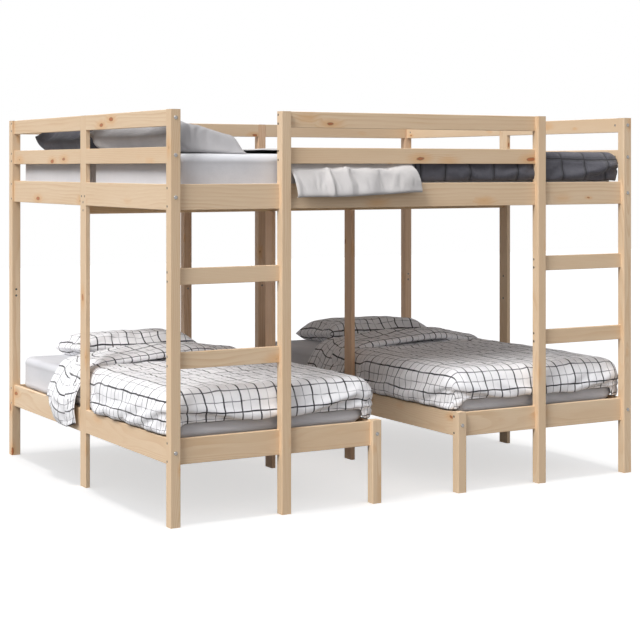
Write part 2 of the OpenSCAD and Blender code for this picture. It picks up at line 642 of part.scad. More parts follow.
// The turned back end of a lower duvet: thicker, and its left flap hangs outside the side rail
turned_y = y_mid + plank_w / 2 + 5;
turned_n = 9;
roll_rise = 66;
tuck_down = 66;
module turned_end(left, right) {
    box = low_mattress_box(left, right);
    rx = line_x(left);
    ml = box[0][0];
    mr = box[1][0];
    z = low_top + mattress_crown + soft_gap;
    function flap(s) = flap_z + 46 * pow(2 * s - 0.9, 2);
    function fold(s) = 4 * cos(360 * 2.5 * s);
    function arch(s) = 0.78 + 0.22 * sin(180 * s);
    function outer_path(s) = let (f = flap(s), w = fold(s), h = turned_loft * arch(s)) [
        [rx - 20 - w, f], [rx - 25 - w, f + 45], [rx - 20 - w / 2, rail_top + 18],
        [rx - 4, rail_top + roll_rise],
        [ml + 4, z + h * 0.5], [ml + 60, z + h * 0.84],
        [blend(ml, mr, 0.36), z + h * 1], [blend(ml, mr, 0.64), z + h * 0.96],
        [mr - 60, z + h * 0.7], [mr + 4, z + h * 0.25], [mr + low_side_gap - 3, z - tuck_down]
    ];
    function inner_path(s) = [
        [rx - 4, flap(s)], [rx - 4, flap(s) + 40], [rx - 3, rail_top + 3], [ml - 2, rail_top + 5],
        [ml - 2, z - 6], [ml + 26, z], [blend(ml, mr, 0.36), z], [blend(ml, mr, 0.64), z],
        [mr - 26, z], [mr + 2, z - 6], [mr + 2, z - tuck_down + 4]
    ];
    function station(x, s) = turned_y + s * (turned_w - turned_skew * max(0, min(1, (x - rx) / (mr - rx))));
    function lift(path, s) = [for (p = path) [p[0], station(p[0], s), p[1]]];
    band(
        [for (j = [0 : turned_n - 1]) lift(outer_path(j / (turned_n - 1)), j / (turned_n - 1))],
        [for (j = [0 : turned_n - 1]) lift(inner_path(j / (turned_n - 1)), j / (turned_n - 1))]
    );
}

// A lower duvet: the part over the foot of the bed, and the turned back end behind the side plank
rail_spill = 18;
outer_spill = 30;
module low_duvet(left, right, right_spill) {
    box = low_mattress_box(left, right);
    part = [box[0], [box[1][0], turned_y - 12, box[1][2]]];
    color(check_white) {
        duvet(part, low_top,
            [rail_top + 4, rail_top + 4, rail_top + 38, low_top + soft_gap + mattress_crown],
            [low_side_gap - 3, low_side_gap - 3, low_foot_gap - 4, 5], duvet_loft,
            [rail_spill, right_spill]);
        turned_end(left, right);
    }
}

// The deck's cover starts right of the turned sheet
cover_x = mid(x_left, x_right);
// How far the deck's covers reach down between the mattresses and at the back cover's right end
split_drop = 40;
end_drop = 60;
back_room = 1.6;
pillow_to_cover = 84;
deck_under = deck_top + soft_gap + mattress_crown;
module deck_duvet() {
    box = [[cover_x, deck_front_box[0][1], 0], deck_front_box[1]];
    color(charcoal) duvet(box, deck_top,
        [deck_under, deck_rail_top + 6, deck_rail_top + 6, deck_top - split_drop],
        [6, deck_gap - 3, deck_gap - 3, deck_split / 2 - 1.5], deck_loft, [0, 0]);
}
module deck_back_duvet() {
    box = [[beam_x1 + deck_pillow_w + pillow_to_cover, deck_back_box[0][1], 0], deck_back_box[1]];
    color(charcoal) duvet(box, deck_top,
        [deck_under, deck_top - end_drop, deck_top - split_drop, deck_top - 3],
        [6, deck_gap - 3, deck_split / 2 - 1.5, back_room], deck_loft - 4, [0, 0]);
}

// The sheet turned back over the front deck rail: it lies on the mattress, slips under the guard
// board and hangs in scallops in front of the rail
sheet_x1 = post_x[1] + post_s + 6;
sheet_x2 = cover_x - 8;
sheet_hang = 40;
module deck_turned_sheet() {
    steps = scallops * 4;
    z = deck_top + mattress_crown + soft_gap;
    my = deck_front_box[0][1];
    face = y_in_front - board_t;
    function scallop(s) = 4.5 * (0.5 - 0.5 * cos(360 * scallops * s));
    function rise(s) = 6 * sin(360 * (scallops / 2) * s + 50);
    function outer_path(s) = let (w = scallop(s)) [
        [deck_front_box[1][1] - 60, z + 16], [blend(my, y_mid, 0.5), z + 24 + rise(s)],
        [my + 60, z + 22 + rise(s) / 2],
        [my + 10, z + 8], [y_in_front - 3, guard_mid_z - 7], [face - 4, deck_rail_top + 42],
        [face - 9 - w, deck_rail_top + 4], [face - 11 - w, deck_rail_top - 20],
        [face - 8 - w, deck_rail_top - sheet_hang - 1.2 * w]
    ];
    function inner_path(s) = let (w = scallop(s)) [
        [deck_front_box[1][1] - 60, z + 1], [blend(my, y_mid, 0.5), z + 1], [my + 60, z + 1],
        [my - 2, z - 5], [y_in_front - 4, deck_rail_top + 30], [face - 1, deck_rail_top + 12],
        [face - 2 - w / 2, deck_rail_top - 6], [face - 3 - w / 2, deck_rail_top - 22],
        [face - 3 - w / 2, deck_rail_top - sheet_hang - 1.2 * w]
    ];
    function lift(path, x) = [for (p = path) [x, p[0], p[1]]];
    color(check_white) band(
        [for (j = [0 : steps]) lift(outer_path(j / steps), blend(sheet_x1, sheet_x2, j / steps))],
        [for (j = [0 : steps]) lift(inner_path(j / steps), blend(sheet_x1, sheet_x2, j / steps))]
    );
}

lower_half(0, FRONT);  // post_front_left_lower
upper_half(0, FRONT);  // post_front_left_upper
lower_half(1, FRONT);  // post_ladder_left_lower
upper_half(1, FRONT);  // post_ladder_left_upper
post_part(2, FRONT, 0, short_post_h);  // post_short_left
post_part(3, FRONT, 0, short_post_h);  // post_short_right
lower_half(4, FRONT);  // post_ladder_right_lower
upper_half(4, FRONT);  // post_ladder_right_upper
lower_half(5, FRONT);  // post_front_right_lower
upper_half(5, FRONT);  // post_front_right_upper
lower_half(0, BACK);  // post_back_left_lower
upper_half(0, BACK);  // post_back_left_upper
lower_half(2, BACK);  // post_back_aisle_left_lower
upper_half(2, BACK);  // post_back_aisle_left_upper
lower_half(3, BACK);  // post_back_aisle_right_lower
upper_half(3, BACK);  // post_back_aisle_right_upper
lower_half(5, BACK);  // post_back_right_lower
upper_half(5, BACK);  // post_back_right_upper
plank_part(0, 0, splice_z);  // plank_left_lower
plank_part(0, splice_z, frame_h);  // plank_left_upper
plank_part(5, 0, splice_z);  // plank_right_lower
plank_part(5, splice_z, frame_h);  // plank_right_upper
plank_part(2, 0, web_z);  // prop_left
plank_part(3, 0, web_z);  // prop_right
long_set(low_left_ends);  // low_left_end_rails
cross_set(low_left_sides);  // low_left_side_rails
long_set(low_right_ends);  // low_right_end_rails
cross_set(low_right_sides);  // low_right_side_rails
long_set(deck_front);  // deck_front_rails
cross_set(deck_side(0));  // deck_left_rails
cross_set(deck_side(5));  // deck_right_rails
long_set(deck_back);  // deck_back_rails
long_set(guard_front_set);  // guard_front
cross_set(guard_side(0));  // guard_left
cross_set(guard_side(5));  // guard_right
long_set(guard_back_set);  // guard_back
long_set(rungs_left);  // ladder_left_rungs
long_set(rungs_right);  // ladder_right_rungs
centre_beam();
slat_bearers();
low_slat_set(0, 2);  // low_left_slats
low_slat_set(3, 5);  // low_right_slats
deck_slat_set();  // deck_slats
wood_screws();
rail_bolts();
barrel_nuts();
dowels();
low_mattress(0, 2);  // low_left_mattress
low_mattress(3, 5);  // low_right_mattress
color(sheet_grey) mattress(deck_front_box);  // deck_front_mattress
color(sheet_grey) mattress(deck_back_box);  // deck_back_mattress
low_pillow(0, 2);  // low_left_pillow
low_pillow(3, 5);  // low_right_pillow
deck_pillow(deck_pillow_y, front_pillow_l, pillow_grey);  // deck_left_pillow
deck_pillow(deck_pillow_y + front_pillow_l + deck_pillow_gap, back_pillow_l, charcoal);  // deck_back_pillow
low_duvet(0, 2, aisle_spill);  // low_left_duvet
low_duvet(3, 5, outer_spill);  // low_right_duvet
deck_duvet();
deck_turned_sheet();
deck_back_duvet();
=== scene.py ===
import json
import math
import bpy
import numpy as np
from mathutils import Matrix, Vector
from mathutils import noise as mn

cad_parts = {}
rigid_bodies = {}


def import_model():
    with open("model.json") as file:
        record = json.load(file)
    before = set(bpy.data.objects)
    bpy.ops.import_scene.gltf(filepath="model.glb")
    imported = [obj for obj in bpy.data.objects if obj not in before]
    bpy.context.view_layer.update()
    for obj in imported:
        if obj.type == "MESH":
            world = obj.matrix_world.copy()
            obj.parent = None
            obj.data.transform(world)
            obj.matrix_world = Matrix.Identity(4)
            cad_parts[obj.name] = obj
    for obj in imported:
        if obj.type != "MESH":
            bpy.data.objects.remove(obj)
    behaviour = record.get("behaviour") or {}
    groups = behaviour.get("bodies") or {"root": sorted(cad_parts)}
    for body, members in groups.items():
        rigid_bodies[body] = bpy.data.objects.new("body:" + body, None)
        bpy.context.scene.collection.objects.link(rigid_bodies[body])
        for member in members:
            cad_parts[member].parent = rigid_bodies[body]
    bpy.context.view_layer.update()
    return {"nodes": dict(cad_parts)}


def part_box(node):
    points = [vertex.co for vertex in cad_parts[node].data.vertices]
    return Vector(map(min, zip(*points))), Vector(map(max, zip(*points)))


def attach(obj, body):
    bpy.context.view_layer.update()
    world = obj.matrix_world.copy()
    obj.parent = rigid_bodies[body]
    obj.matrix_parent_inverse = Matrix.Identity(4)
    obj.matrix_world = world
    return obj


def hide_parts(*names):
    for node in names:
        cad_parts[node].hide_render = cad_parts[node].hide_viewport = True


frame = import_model()
nodes = frame["nodes"]
scene = bpy.context.scene


# ---------------------------------------------------------------- node helpers
def srgb(r, g, b):
    def lin(c):
        c /= 255.0
        return c / 12.92 if c <= 0.04045 else ((c + 0.055) / 1.055) ** 2.4
    return (lin(r), lin(g), lin(b), 1.0)


class Tree:
    """Short ways to add and link shader nodes."""

    def __init__(self, name):
        self.mat = bpy.data.materials.new(name)
        self.mat.use_nodes = True
        self.t = self.mat.node_tree
        self.bsdf = self.t.nodes["Principled BSDF"]

    def put(self, value, socket):
        """Link an output to the socket, or set a plain value on it."""
        if hasattr(value, "is_output"):
            self.t.links.new(value, socket)
        else:
            socket.default_value = value

    def add(self, kind, **props):
        n = self.t.nodes.new(kind)
        for k, v in props.items():
            setattr(n, k, v)
        return n

    def math(self, op, a, b=0.0, c=None):
        n = self.add("ShaderNodeMath", operation=op)
        self.put(a, n.inputs[0])
        self.put(b, n.inputs[1])
        if c is not None:
            self.put(c, n.inputs[2])
        return n.outputs[0]

    def vmath(self, op, a, b=(0, 0, 0), scale=None):
        n = self.add("ShaderNodeVectorMath", operation=op)
        self.put(a, n.inputs[0])
        self.put(b, n.inputs[1])
        if scale is not None:
            self.put(scale, n.inputs["Scale"])
        return n.outputs["Value"] if op == "LENGTH" else n.outputs[0]

    def split(self, v):
        n = self.add("ShaderNodeSeparateXYZ")
        self.put(v, n.inputs[0])
        return n.outputs[0], n.outputs[1], n.outputs[2]

    def join(self, x, y, z):
        n = self.add("ShaderNodeCombineXYZ")
        for v, s in zip((x, y, z), n.inputs):
            self.put(v, s)
        return n.outputs[0]

    def place(self):
        return self.add("ShaderNodeTexCoord").outputs["Object"]

    def noise(self, v, scale, detail=2.0, rough=0.5, colour=False):
        n = self.add("ShaderNodeTexNoise")
        self.put(v, n.inputs["Vector"])
        n.inputs["Scale"].default_value = scale
        n.inputs["Detail"].default_value = detail
        n.inputs["Roughness"].default_value = rough
        return n.outputs["Color"] if colour else n.outputs[0]

    def wobbled(self, v, scale, reach):
        """v pushed about by coloured noise, so that straight lines in it waver."""
        swing = self.vmath("SUBTRACT", self.noise(v, scale, 2.0, colour=True), (0.5, 0.5, 0.5))
        return self.vmath("ADD", v, self.vmath("SCALE", swing, scale=reach))

    def ramp(self, x, lo, hi, a=0.0, b=1.0, smooth=True):
        """a where x is below lo, b where it is above hi, and a passage between them."""
        n = self.add("ShaderNodeMapRange", interpolation_type="SMOOTHSTEP" if smooth else "LINEAR")
        for v, s in zip((x, lo, hi, a, b), n.inputs):
            self.put(v, s)
        return n.outputs[0]

    def mix(self, share, a, b):
        n = self.add("ShaderNodeMix", data_type="RGBA")
        self.put(share, n.inputs[0])
        self.put(a, n.inputs[6])
        self.put(b, n.inputs[7])
        return n.outputs[2]

    def bump(self, height, strength, distance):
        n = self.add("ShaderNodeBump")
        n.inputs["Strength"].default_value = strength
        n.inputs["Distance"].default_value = distance
        self.put(height, n.inputs["Height"])
        return n.outputs[0]

    def set(self, **values):
        for k, v in values.items():
            self.put(v, self.bsdf.inputs[k.replace("_", " ")])
        return self.mat


# ---------------------------------------------------------------- wood
KNOT_CELLS = 14.0   # cells per metre, each of which may hold a knot
KNOT_SHARE = 0.60   # the share of them that do
RINGS = 118.0       # growth rings per metre
# for a board along each axis: the two axes across the grain, then the one along it
GRAIN = {"x": (1, 2, 0), "y": (0, 2, 1), "z": (0, 1, 2)}


def pine(name, axis, light, dark, knot, deep, knots=1.0):
    """Planed pine: growth rings round a far axis, fine fibres along the board, and knots that bend them."""
    t = Tree(name)

    def by_grain(v):
        parts = t.split(v)
        return [parts[k] for k in GRAIN[axis]]

    def stretched(across, along):
        return t.join(t.math("MULTIPLY", a, across), t.math("MULTIPLY", b, across),
                      t.math("MULTIPLY", c, along))

    p = t.place()
    a, b, c = by_grain(p)
    # knots: the nearest of points strewn through the wood, with flames along the grain on both sides
    wa, wb, wc = by_grain(t.wobbled(p, 30, 0.010))
    cells = t.add("ShaderNodeTexVoronoi", feature="F1")
    t.put(t.join(wa, wb, t.math("MULTIPLY", wc, 0.40)), cells.inputs["Vector"])
    cells.inputs["Scale"].default_value = KNOT_CELLS
    d = t.math("DIVIDE", cells.outputs["Distance"], KNOT_CELLS)
    pick = t.split(cells.outputs["Color"])
    size = t.ramp(pick[0], 0.0, 1.0, 0.0028, 0.0080, smooth=False)
    here = t.math("GREATER_THAN", pick[1], 1.0 - KNOT_SHARE * knots)
    near = t.math("DIVIDE", d, size)
    core = t.math("MULTIPLY", t.ramp(near, 0.62, 1.00, 1.0, 0.0), here)
    rim = t.math("MULTIPLY", t.ramp(near, 0.85, 1.20, 1.0, 0.0), here)
    halo = t.math("MULTIPLY", t.ramp(near, 0.9, 4.2, 1.0, 0.0), here)
    # growth rings, drawn out along the board and pushed aside by the knots
    slow = t.noise(stretched(5.0, 0.9), 1.0, 2.0)
    bend = t.noise(stretched(16.0, 2.2), 1.0, 2.0)
    board = t.noise(t.join(a, b, 0.0), 7.0, 0.0)
    ra = t.math("ADD", a, t.math("MULTIPLY_ADD", slow, 0.16, t.math("MULTIPLY", board, 0.5)))
    rb = t.math("ADD", b, t.math("MULTIPLY_ADD", bend, 0.022, 0.12))
    r = t.vmath("LENGTH", t.join(ra, rb, 0.0))
    r = t.math("MULTIPLY_ADD", halo, 0.0085, r)
    ring = t.math("FRACT", t.math("MULTIPLY", r, RINGS))
    late = t.math("MULTIPLY", t.ramp(ring, 0.30, 0.92), t.ramp(ring, 0.93, 1.0, 1.0, 0.0))
    faded = t.noise(t.join(a, b, t.math("MULTIPLY", c, 0.12)), 22.0, 1.0)
    late = t.math("MULTIPLY", late, t.ramp(faded, 0.32, 0.72, 0.25, 1.0))
    # fine fibres, and a slow change of tone
    fibre = t.noise(stretched(900.0, 14.0), 1.0, 3.0, 0.6)
    tone = t.noise(stretched(11.0, 1.1), 1.0, 2.0)
    col = t.mix(t.math("MULTIPLY", late, 0.60), light, dark)
    col = t.mix(t.ramp(fibre, 0.30, 0.75, 0.0, 0.30), col, dark)
    col = t.mix(t.ramp(tone, 0.30, 0.70, 0.30, 0.0), col, dark)
    col = t.mix(t.math("MULTIPLY", halo, 0.55), col, FLAME)
    col = t.mix(t.math("MULTIPLY", rim, 0.75), col, deep)
    col = t.mix(t.math("MULTIPLY", core, 0.70), col, knot)
    rough = t.ramp(fibre, 0.2, 0.8, 0.46, 0.60)
    height = t.math("ADD", t.math("MULTIPLY", fibre, 0.6), t.math("MULTIPLY", late, 0.4))
    t.set(Base_Color=col, Roughness=rough, Normal=t.bump(height, 0.22, 0.0006))
    t.bsdf.inputs["Specular IOR Level"].default_value = 0.35
    t.bsdf.inputs["Coat Weight"].default_value = 0.06
    t.bsdf.inputs["Coat Roughness"].default_value = 0.45
    return t.mat


LIGHT, DARK = srgb(231, 206, 175), srgb(211, 174, 133)
KNOT, DEEP = srgb(190, 112, 62), srgb(120, 52, 28)
FLAME = srgb(219, 168, 112)
wood = {ax: pine("pine_" + ax, ax, LIGHT, DARK, KNOT, DEEP) for ax in "xyz"}
# a redder, darker copy of the pine for the props and back posts, which stand under the deck: its colours
# are painted shade
shaded_pine = pine("pine_in_shade", "z", srgb(228, 195, 163), srgb(204, 159, 119), KNOT, DEEP)
SLAT_LIGHT, SLAT_DARK = srgb(222, 192, 152), srgb(196, 154, 108)
slat_wood = {ax: pine("slat_pine_" + ax, ax, SLAT_LIGHT, SLAT_DARK, KNOT, DEEP) for ax in "xy"}
beech = pine("beech", "z", srgb(205, 165, 122), srgb(182, 138, 95), srgb(182, 138, 95),
             srgb(170, 120, 80), knots=0.0)


def steel(name, a, b):
    t = Tree(name)
    n = t.noise(t.place(), 420.0, 3.0, 0.6)
    col = t.mix(t.ramp(n, 0.3, 0.7), a, b)
    t.set(Base_Color=col, Roughness=t.ramp(n, 0.3, 0.7, 0.24, 0.40), Normal=t.bump(n, 0.10, 0.0003))
    t.bsdf.inputs["Metallic"].default_value = 1.0
    return t.mat


bolt_metal = steel("zinc_steel", srgb(168, 166, 164), srgb(146, 144, 142))
# the screws are darker than the bolts as painted shade in their countersunk recesses
recess_shade_screw_steel = steel("screw_steel_recess_shade", srgb(118, 113, 108), srgb(96, 91, 87))


def dress(name, mat):
    o = nodes[name]
    o.data.materials.clear()
    o.data.materials.append(mat)


for name in nodes:
    if name.startswith(("prop_", "post_back_aisle", "post_back_right")):
        # these stand in shade under the deck, so they take the pine with painted shade
        dress(name, shaded_pine)
    elif name.startswith(("post_", "plank_")):
        dress(name, wood["z"])
    elif name in ("low_left_side_rails", "low_right_side_rails", "deck_left_rails", "deck_right_rails",
                  "guard_left", "guard_right"):
        dress(name, wood["y"])
    elif name in ("low_left_slats", "low_right_slats", "slat_bearers", "centre_beam"):
        dress(name, slat_wood["x"])
    elif name == "deck_slats":
        dress(name, slat_wood["y"])
    elif name == "dowels":
        dress(name, beech)
    elif name in ("rail_bolts", "barrel_nuts"):
        dress(name, bolt_metal)
    elif name == "wood_screws":
        dress(name, recess_shade_screw_steel)
    elif name.endswith(("_rails", "_rungs")) or name.startswith("guard_"):
        dress(name, wood["x"])


# ---------------------------------------------------------------- cloth materials
CHECK, CHECK_CROSS, CHECK_FINE = 0.071, 0.213, 0.0355   # how far apart the check's lines are
BOLD_LINE, MIDDLE_LINE, FINE_LINE = 0.0056, 0.0042, 0.0028   # how wide they are
QUILT, QUILT_SHIFT = 0.112, 0.35   # the quilt's squares, and where along them the cross seams start


def cloth_uv(t, layer="cloth"):
    """The cloth's flat place in metres, or with layer "hem" the distance from a dark hem."""
    return t.add("ShaderNodeUVMap", uv_map=layer).outputs[0]


def weave(t, uv, pitch):
    """Height of a plain weave with threads that far apart."""
    u, v, _ = t.split(uv)
    k = 2 * math.pi / pitch
    return t.math("MULTIPLY", t.math("SINE", t.math("MULTIPLY", u, k)),
                  t.math("SINE", t.math("MULTIPLY", v, k)))


def line(t, x, pitch, width, shift=0.0):
    """1 on lines across x that are pitch apart, with soft edges."""
    f = t.math("FRACT", t.math("MULTIPLY_ADD", x, 1.0 / pitch, shift + 0.5))
    d = t.math("MULTIPLY", t.math("ABSOLUTE", t.math("SUBTRACT", f, 0.5)), pitch)
    return t.ramp(d, width * 0.30, width * 0.70, 1.0, 0.0)


def matte(t, sheen):
    t.bsdf.inputs["Sheen Weight"].default_value = sheen
    t.bsdf.inputs["Sheen Roughness"].default_value = 0.5
    t.bsdf.inputs["Specular IOR Level"].default_value = 0.2
    return t.mat


def cloth_base(t, col, rough, pitch):
    uv = cloth_uv(t)
    fine = t.noise(uv, 900.0, 2.0, 0.6)
    crumple = t.noise(uv, 34.0, 3.0, 0.55)
    h = t.math("MULTIPLY_ADD", weave(t, uv, pitch), 0.5, fine)
    h = t.math("MULTIPLY_ADD", crumple, 9.0, h)
    t.set(Base_Color=col, Roughness=rough, Normal=t.bump(h, 0.28, 0.0004))
    return matte(t, 0.15)


def checked(name, white, bold, middle_grey, thin):
    """White cotton with a hand drawn grid: bold lines one way, mostly finer ones the other way."""
    t = Tree(name)
    uv = cloth_uv(t)
    edge = t.split(cloth_uv(t, "hem"))[0]
    u, v, _ = t.split(t.wobbled(uv, 13.0, 0.010))
    # the lines fade here and there
    strong = t.ramp(t.noise(uv, 9.0, 2.0), 0.36, 0.50, 0.72, 1.0)
    weak = t.ramp(t.noise(uv, 19.0, 1.0), 0.36, 0.58, 0.42, 1.0)
    half = t.ramp(t.noise(uv, 7.0, 1.0), 0.34, 0.56, 0.50, 1.0)
    big = t.math("MAXIMUM", line(t, u, CHECK, BOLD_LINE), line(t, v, CHECK_CROSS, BOLD_LINE))
    big = t.math("MULTIPLY", big, strong)
    big = t.math("MAXIMUM", big, t.ramp(edge, 0.0022, 0.0040, 1.0, 0.0))
    middle = t.math("MULTIPLY", line(t, v, CHECK, MIDDLE_LINE), half)
    small = t.math("MAXIMUM", line(t, u, CHECK_FINE, FINE_LINE), line(t, v, CHECK_FINE, FINE_LINE))
    small = t.math("MULTIPLY", small, weak)
    grey = t.noise(uv, 5.0, 3.0)
    col = t.mix(t.ramp(grey, 0.35, 0.75, 0.0, 0.06), white, thin)
    col = t.mix(small, col, thin)
    col = t.mix(middle, col, middle_grey)
    col = t.mix(big, col, bold)
    return cloth_base(t, col, 0.88, 0.0009)


def plain(name, a, b):
    """One colour with slubs and slow changes of tone."""
    t = Tree(name)
    uv = cloth_uv(t)
    n = t.noise(uv, 7.0, 4.0, 0.6)
    slub = t.noise(t.vmath("MULTIPLY", uv, (40.0, 900.0, 1.0)), 1.0, 2.0)
    col = t.mix(t.math("MULTIPLY_ADD", slub, 0.35, t.ramp(n, 0.3, 0.7, 0.0, 0.65)), a, b)
    return cloth_base(t, col, 0.9, 0.0011)


def quilted(name, a, b, seam):
    """Cloth with sunk seam lines that make squares: the lines and a wider band round them are painted dark,
    as shade in the creases.
    """
    t = Tree(name)
    uv = cloth_uv(t)
    u, v, _ = t.split(t.wobbled(uv, 11.0, 0.012))
    wide = t.math("MAXIMUM", line(t, u, QUILT, 0.018), line(t, v, QUILT, 0.018, QUILT_SHIFT))
    seam_shade = t.math("MAXIMUM", line(t, u, QUILT, 0.005), line(t, v, QUILT, 0.005, QUILT_SHIFT))
    col = t.mix(t.ramp(t.noise(uv, 9.0, 4.0, 0.6), 0.3, 0.7, 0.0, 0.65), a, b)
    # painted shade: a light darkening in a band round each seam, and the seam line itself dark, as shade in
    # the sunk crease
    col = t.mix(t.math("MULTIPLY", wide, 0.30), col, seam)
    col = t.mix(t.math("MULTIPLY", seam_shade, 0.85), col, seam)
    crumple = t.noise(uv, 22.0, 3.0, 0.6)
    h = t.math("MULTIPLY_ADD", weave(t, uv, 0.0011), 0.0002, t.math("MULTIPLY", crumple, 0.006))
    h = t.math("SUBTRACT", h, t.math("MULTIPLY_ADD", seam_shade, 0.0015, t.math("MULTIPLY", wide, 0.0025)))
    t.set(Base_Color=col, Roughness=0.85, Normal=t.bump(h, 0.8, 1.0))
    return matte(t, 0.2)


check_cloth = checked("check_cotton", srgb(247, 246, 248), srgb(40, 39, 44), srgb(84, 82, 87),
                      srgb(136, 134, 139))
ticking = plain("mattress_ticking", srgb(221, 221, 225), srgb(211, 211, 215))
charcoal_cloth = plain("charcoal_cotton", srgb(90, 89, 95), srgb(72, 71, 77))
grey_cloth = plain("grey_cotton", srgb(176, 174, 175), srgb(160, 158, 160))
light_cloth = plain("light_grey_cotton", srgb(203, 199, 197), srgb(190, 187, 186))
# its last colour is the painted shade in the quilt's seams
charcoal_quilt = quilted("charcoal_quilt", srgb(92, 91, 98), srgb(76, 75, 82), srgb(36, 35, 38))


# ---------------------------------------------------------------- soft goods helpers
CLOTH_GAP = 0.003   # room that a simulated cloth keeps to what it lies on


def fbm(x, y, z=0.0, octaves=3):
    return mn.fractal(Vector((x, y, z)), 1.0, 2.0, octaves)


def ease(x, lo=0.0, hi=1.0):
    """0 below lo, 1 above hi, and a smooth step between them."""
    k = min(1.0, max(0.0, (x - lo) / (hi - lo)))
    return k * k * (3 - 2 * k)


def normals(P):
    """Unit normals of a grid of points."""
    a, b = np.gradient(P, axis=0), np.gradient(P, axis=1)
    n = np.cross(a, b)
    return n / np.maximum(np.linalg.norm(n, axis=2, keepdims=True), 1e-9)


def new_mesh(name, verts, faces, uvs, hems, mat):
    """A smooth mesh with the two layers that the cloth materials read."""
    me = bpy.data.meshes.new(name)
    me.from_pydata(verts, [], faces)
    loops = np.empty(len(me.loops), np.int32)
    me.loops.foreach_get("vertex_index", loops)
    for layer, flat in (("cloth", uvs), ("hem", hems)):
        uv = me.uv_layers.new(name=layer)
        uv.data.foreach_set("uv", np.asarray(flat, np.float32)[loops].ravel())
    me.uv_layers.active = me.uv_layers["cloth"]
    me.polygons.foreach_set("use_smooth", [True] * len(me.polygons))
    if mat:
        me.materials.append(mat)
    o = bpy.data.objects.new(name, me)
    scene.collection.objects.link(o)
    return o


def grid_object(name, P, UV, mat, hem=None):
    """A cloth from a grid of points, with its pattern laid out flat in UV, in metres. hem is the
    distance of each point from the nearest edge that has a dark line."""
    n, m = P.shape[:2]
    idx = np.arange(n * m).reshape(n, m)
    quads = np.stack([idx[:-1, :-1], idx[1:, :-1], idx[1:, 1:], idx[:-1, 1:]], axis=-1).reshape(-1, 4)
    far = np.ones((n, m)) if hem is None else hem
    return new_mesh(name, P.reshape(-1, 3).tolist(), quads.tolist(), UV.reshape(-1, 2),
                    np.stack([far, far], -1).reshape(-1, 2), mat)


def coords(me):
    co = np.empty(len(me.vertices) * 3)
    me.vertices.foreach_get("co", co)
    return co.reshape(-1, 3)


def set_coords(o, co):
    o.data.vertices.foreach_set("co", co.ravel())
    o.data.update()


def settle(o, over=(), frames=24, spare=0.0, pressure=0.0, gravity=1.0, pins=None, cap=0.03, bend=1.0):
    """A short cloth simulation, whose result stays in the mesh. over is what the cloth lies on, spare the
    share by which it may be wider, pins the weights of points that stay, and cap the most a point moves."""
    before = coords(o.data).copy()
    for c in over:
        c.modifiers.new("hit", "COLLISION")
        c.collision.thickness_outer = CLOTH_GAP
        c.collision.cloth_friction = 12.0
        c.collision.damping = 0.7
    mod = o.modifiers.new("cloth", "CLOTH")
    st = mod.settings
    st.quality = 6
    st.mass = 0.3
    st.air_damping = 3.0
    st.tension_stiffness = st.compression_stiffness = 18.0
    st.shear_stiffness = 6.0
    st.bending_stiffness = bend
    st.shrink_min = -spare
    st.effector_weights.gravity = gravity
    if pressure:
        st.use_pressure = True
        st.uniform_pressure_force = pressure
    if pins is not None:
        group = o.vertex_groups.new(name="pin")
        for k in np.nonzero(pins > 0)[0]:
            group.add([int(k)], float(pins[k]), "REPLACE")
        st.vertex_group_mass = "pin"
    mod.collision_settings.use_collision = bool(over)
    mod.collision_settings.distance_min = CLOTH_GAP
    mod.point_cache.frame_start = 1
    mod.point_cache.frame_end = frames + 1
    for f in range(1, frames + 1):
        scene.frame_set(f)
    after = coords(o.evaluated_get(bpy.context.evaluated_depsgraph_get()).data).copy()
    o.modifiers.remove(mod)
    scene.frame_set(1)
    for c in over:
        c.modifiers.clear()
    step = after - before
    far = np.linalg.norm(step, axis=1, keepdims=True)
    step *= np.minimum(1.0, cap / np.maximum(far, 1e-9))
    set_coords(o, before + step)


def drop(*objects):
    for o in objects:
        bpy.data.objects.remove(o, do_unlink=True)


def finish(o, node, thick=0.0):
    if thick:
        s = o.modifiers.new("thickness", "SOLIDIFY")
        s.thickness, s.offset, s.use_rim = thick, -1.0, True
    s = o.modifiers.new("smooth", "SUBSURF")
    s.levels = s.render_levels = 1
    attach(o, "root")
    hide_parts(node)
    return o


def bend_over(R, rho):
    """How far cloth reaches out and drops after running rho past an edge rounded with R."""
    if rho <= 0:
        return 0.0, 0.0
    if rho < R * math.pi / 2:
        return R * math.sin(rho / R), R * (1 - math.cos(rho / R))
    return R, R + rho - R * math.pi / 2


COVER_STEP = 0.014   # about how far apart a cover's points lie


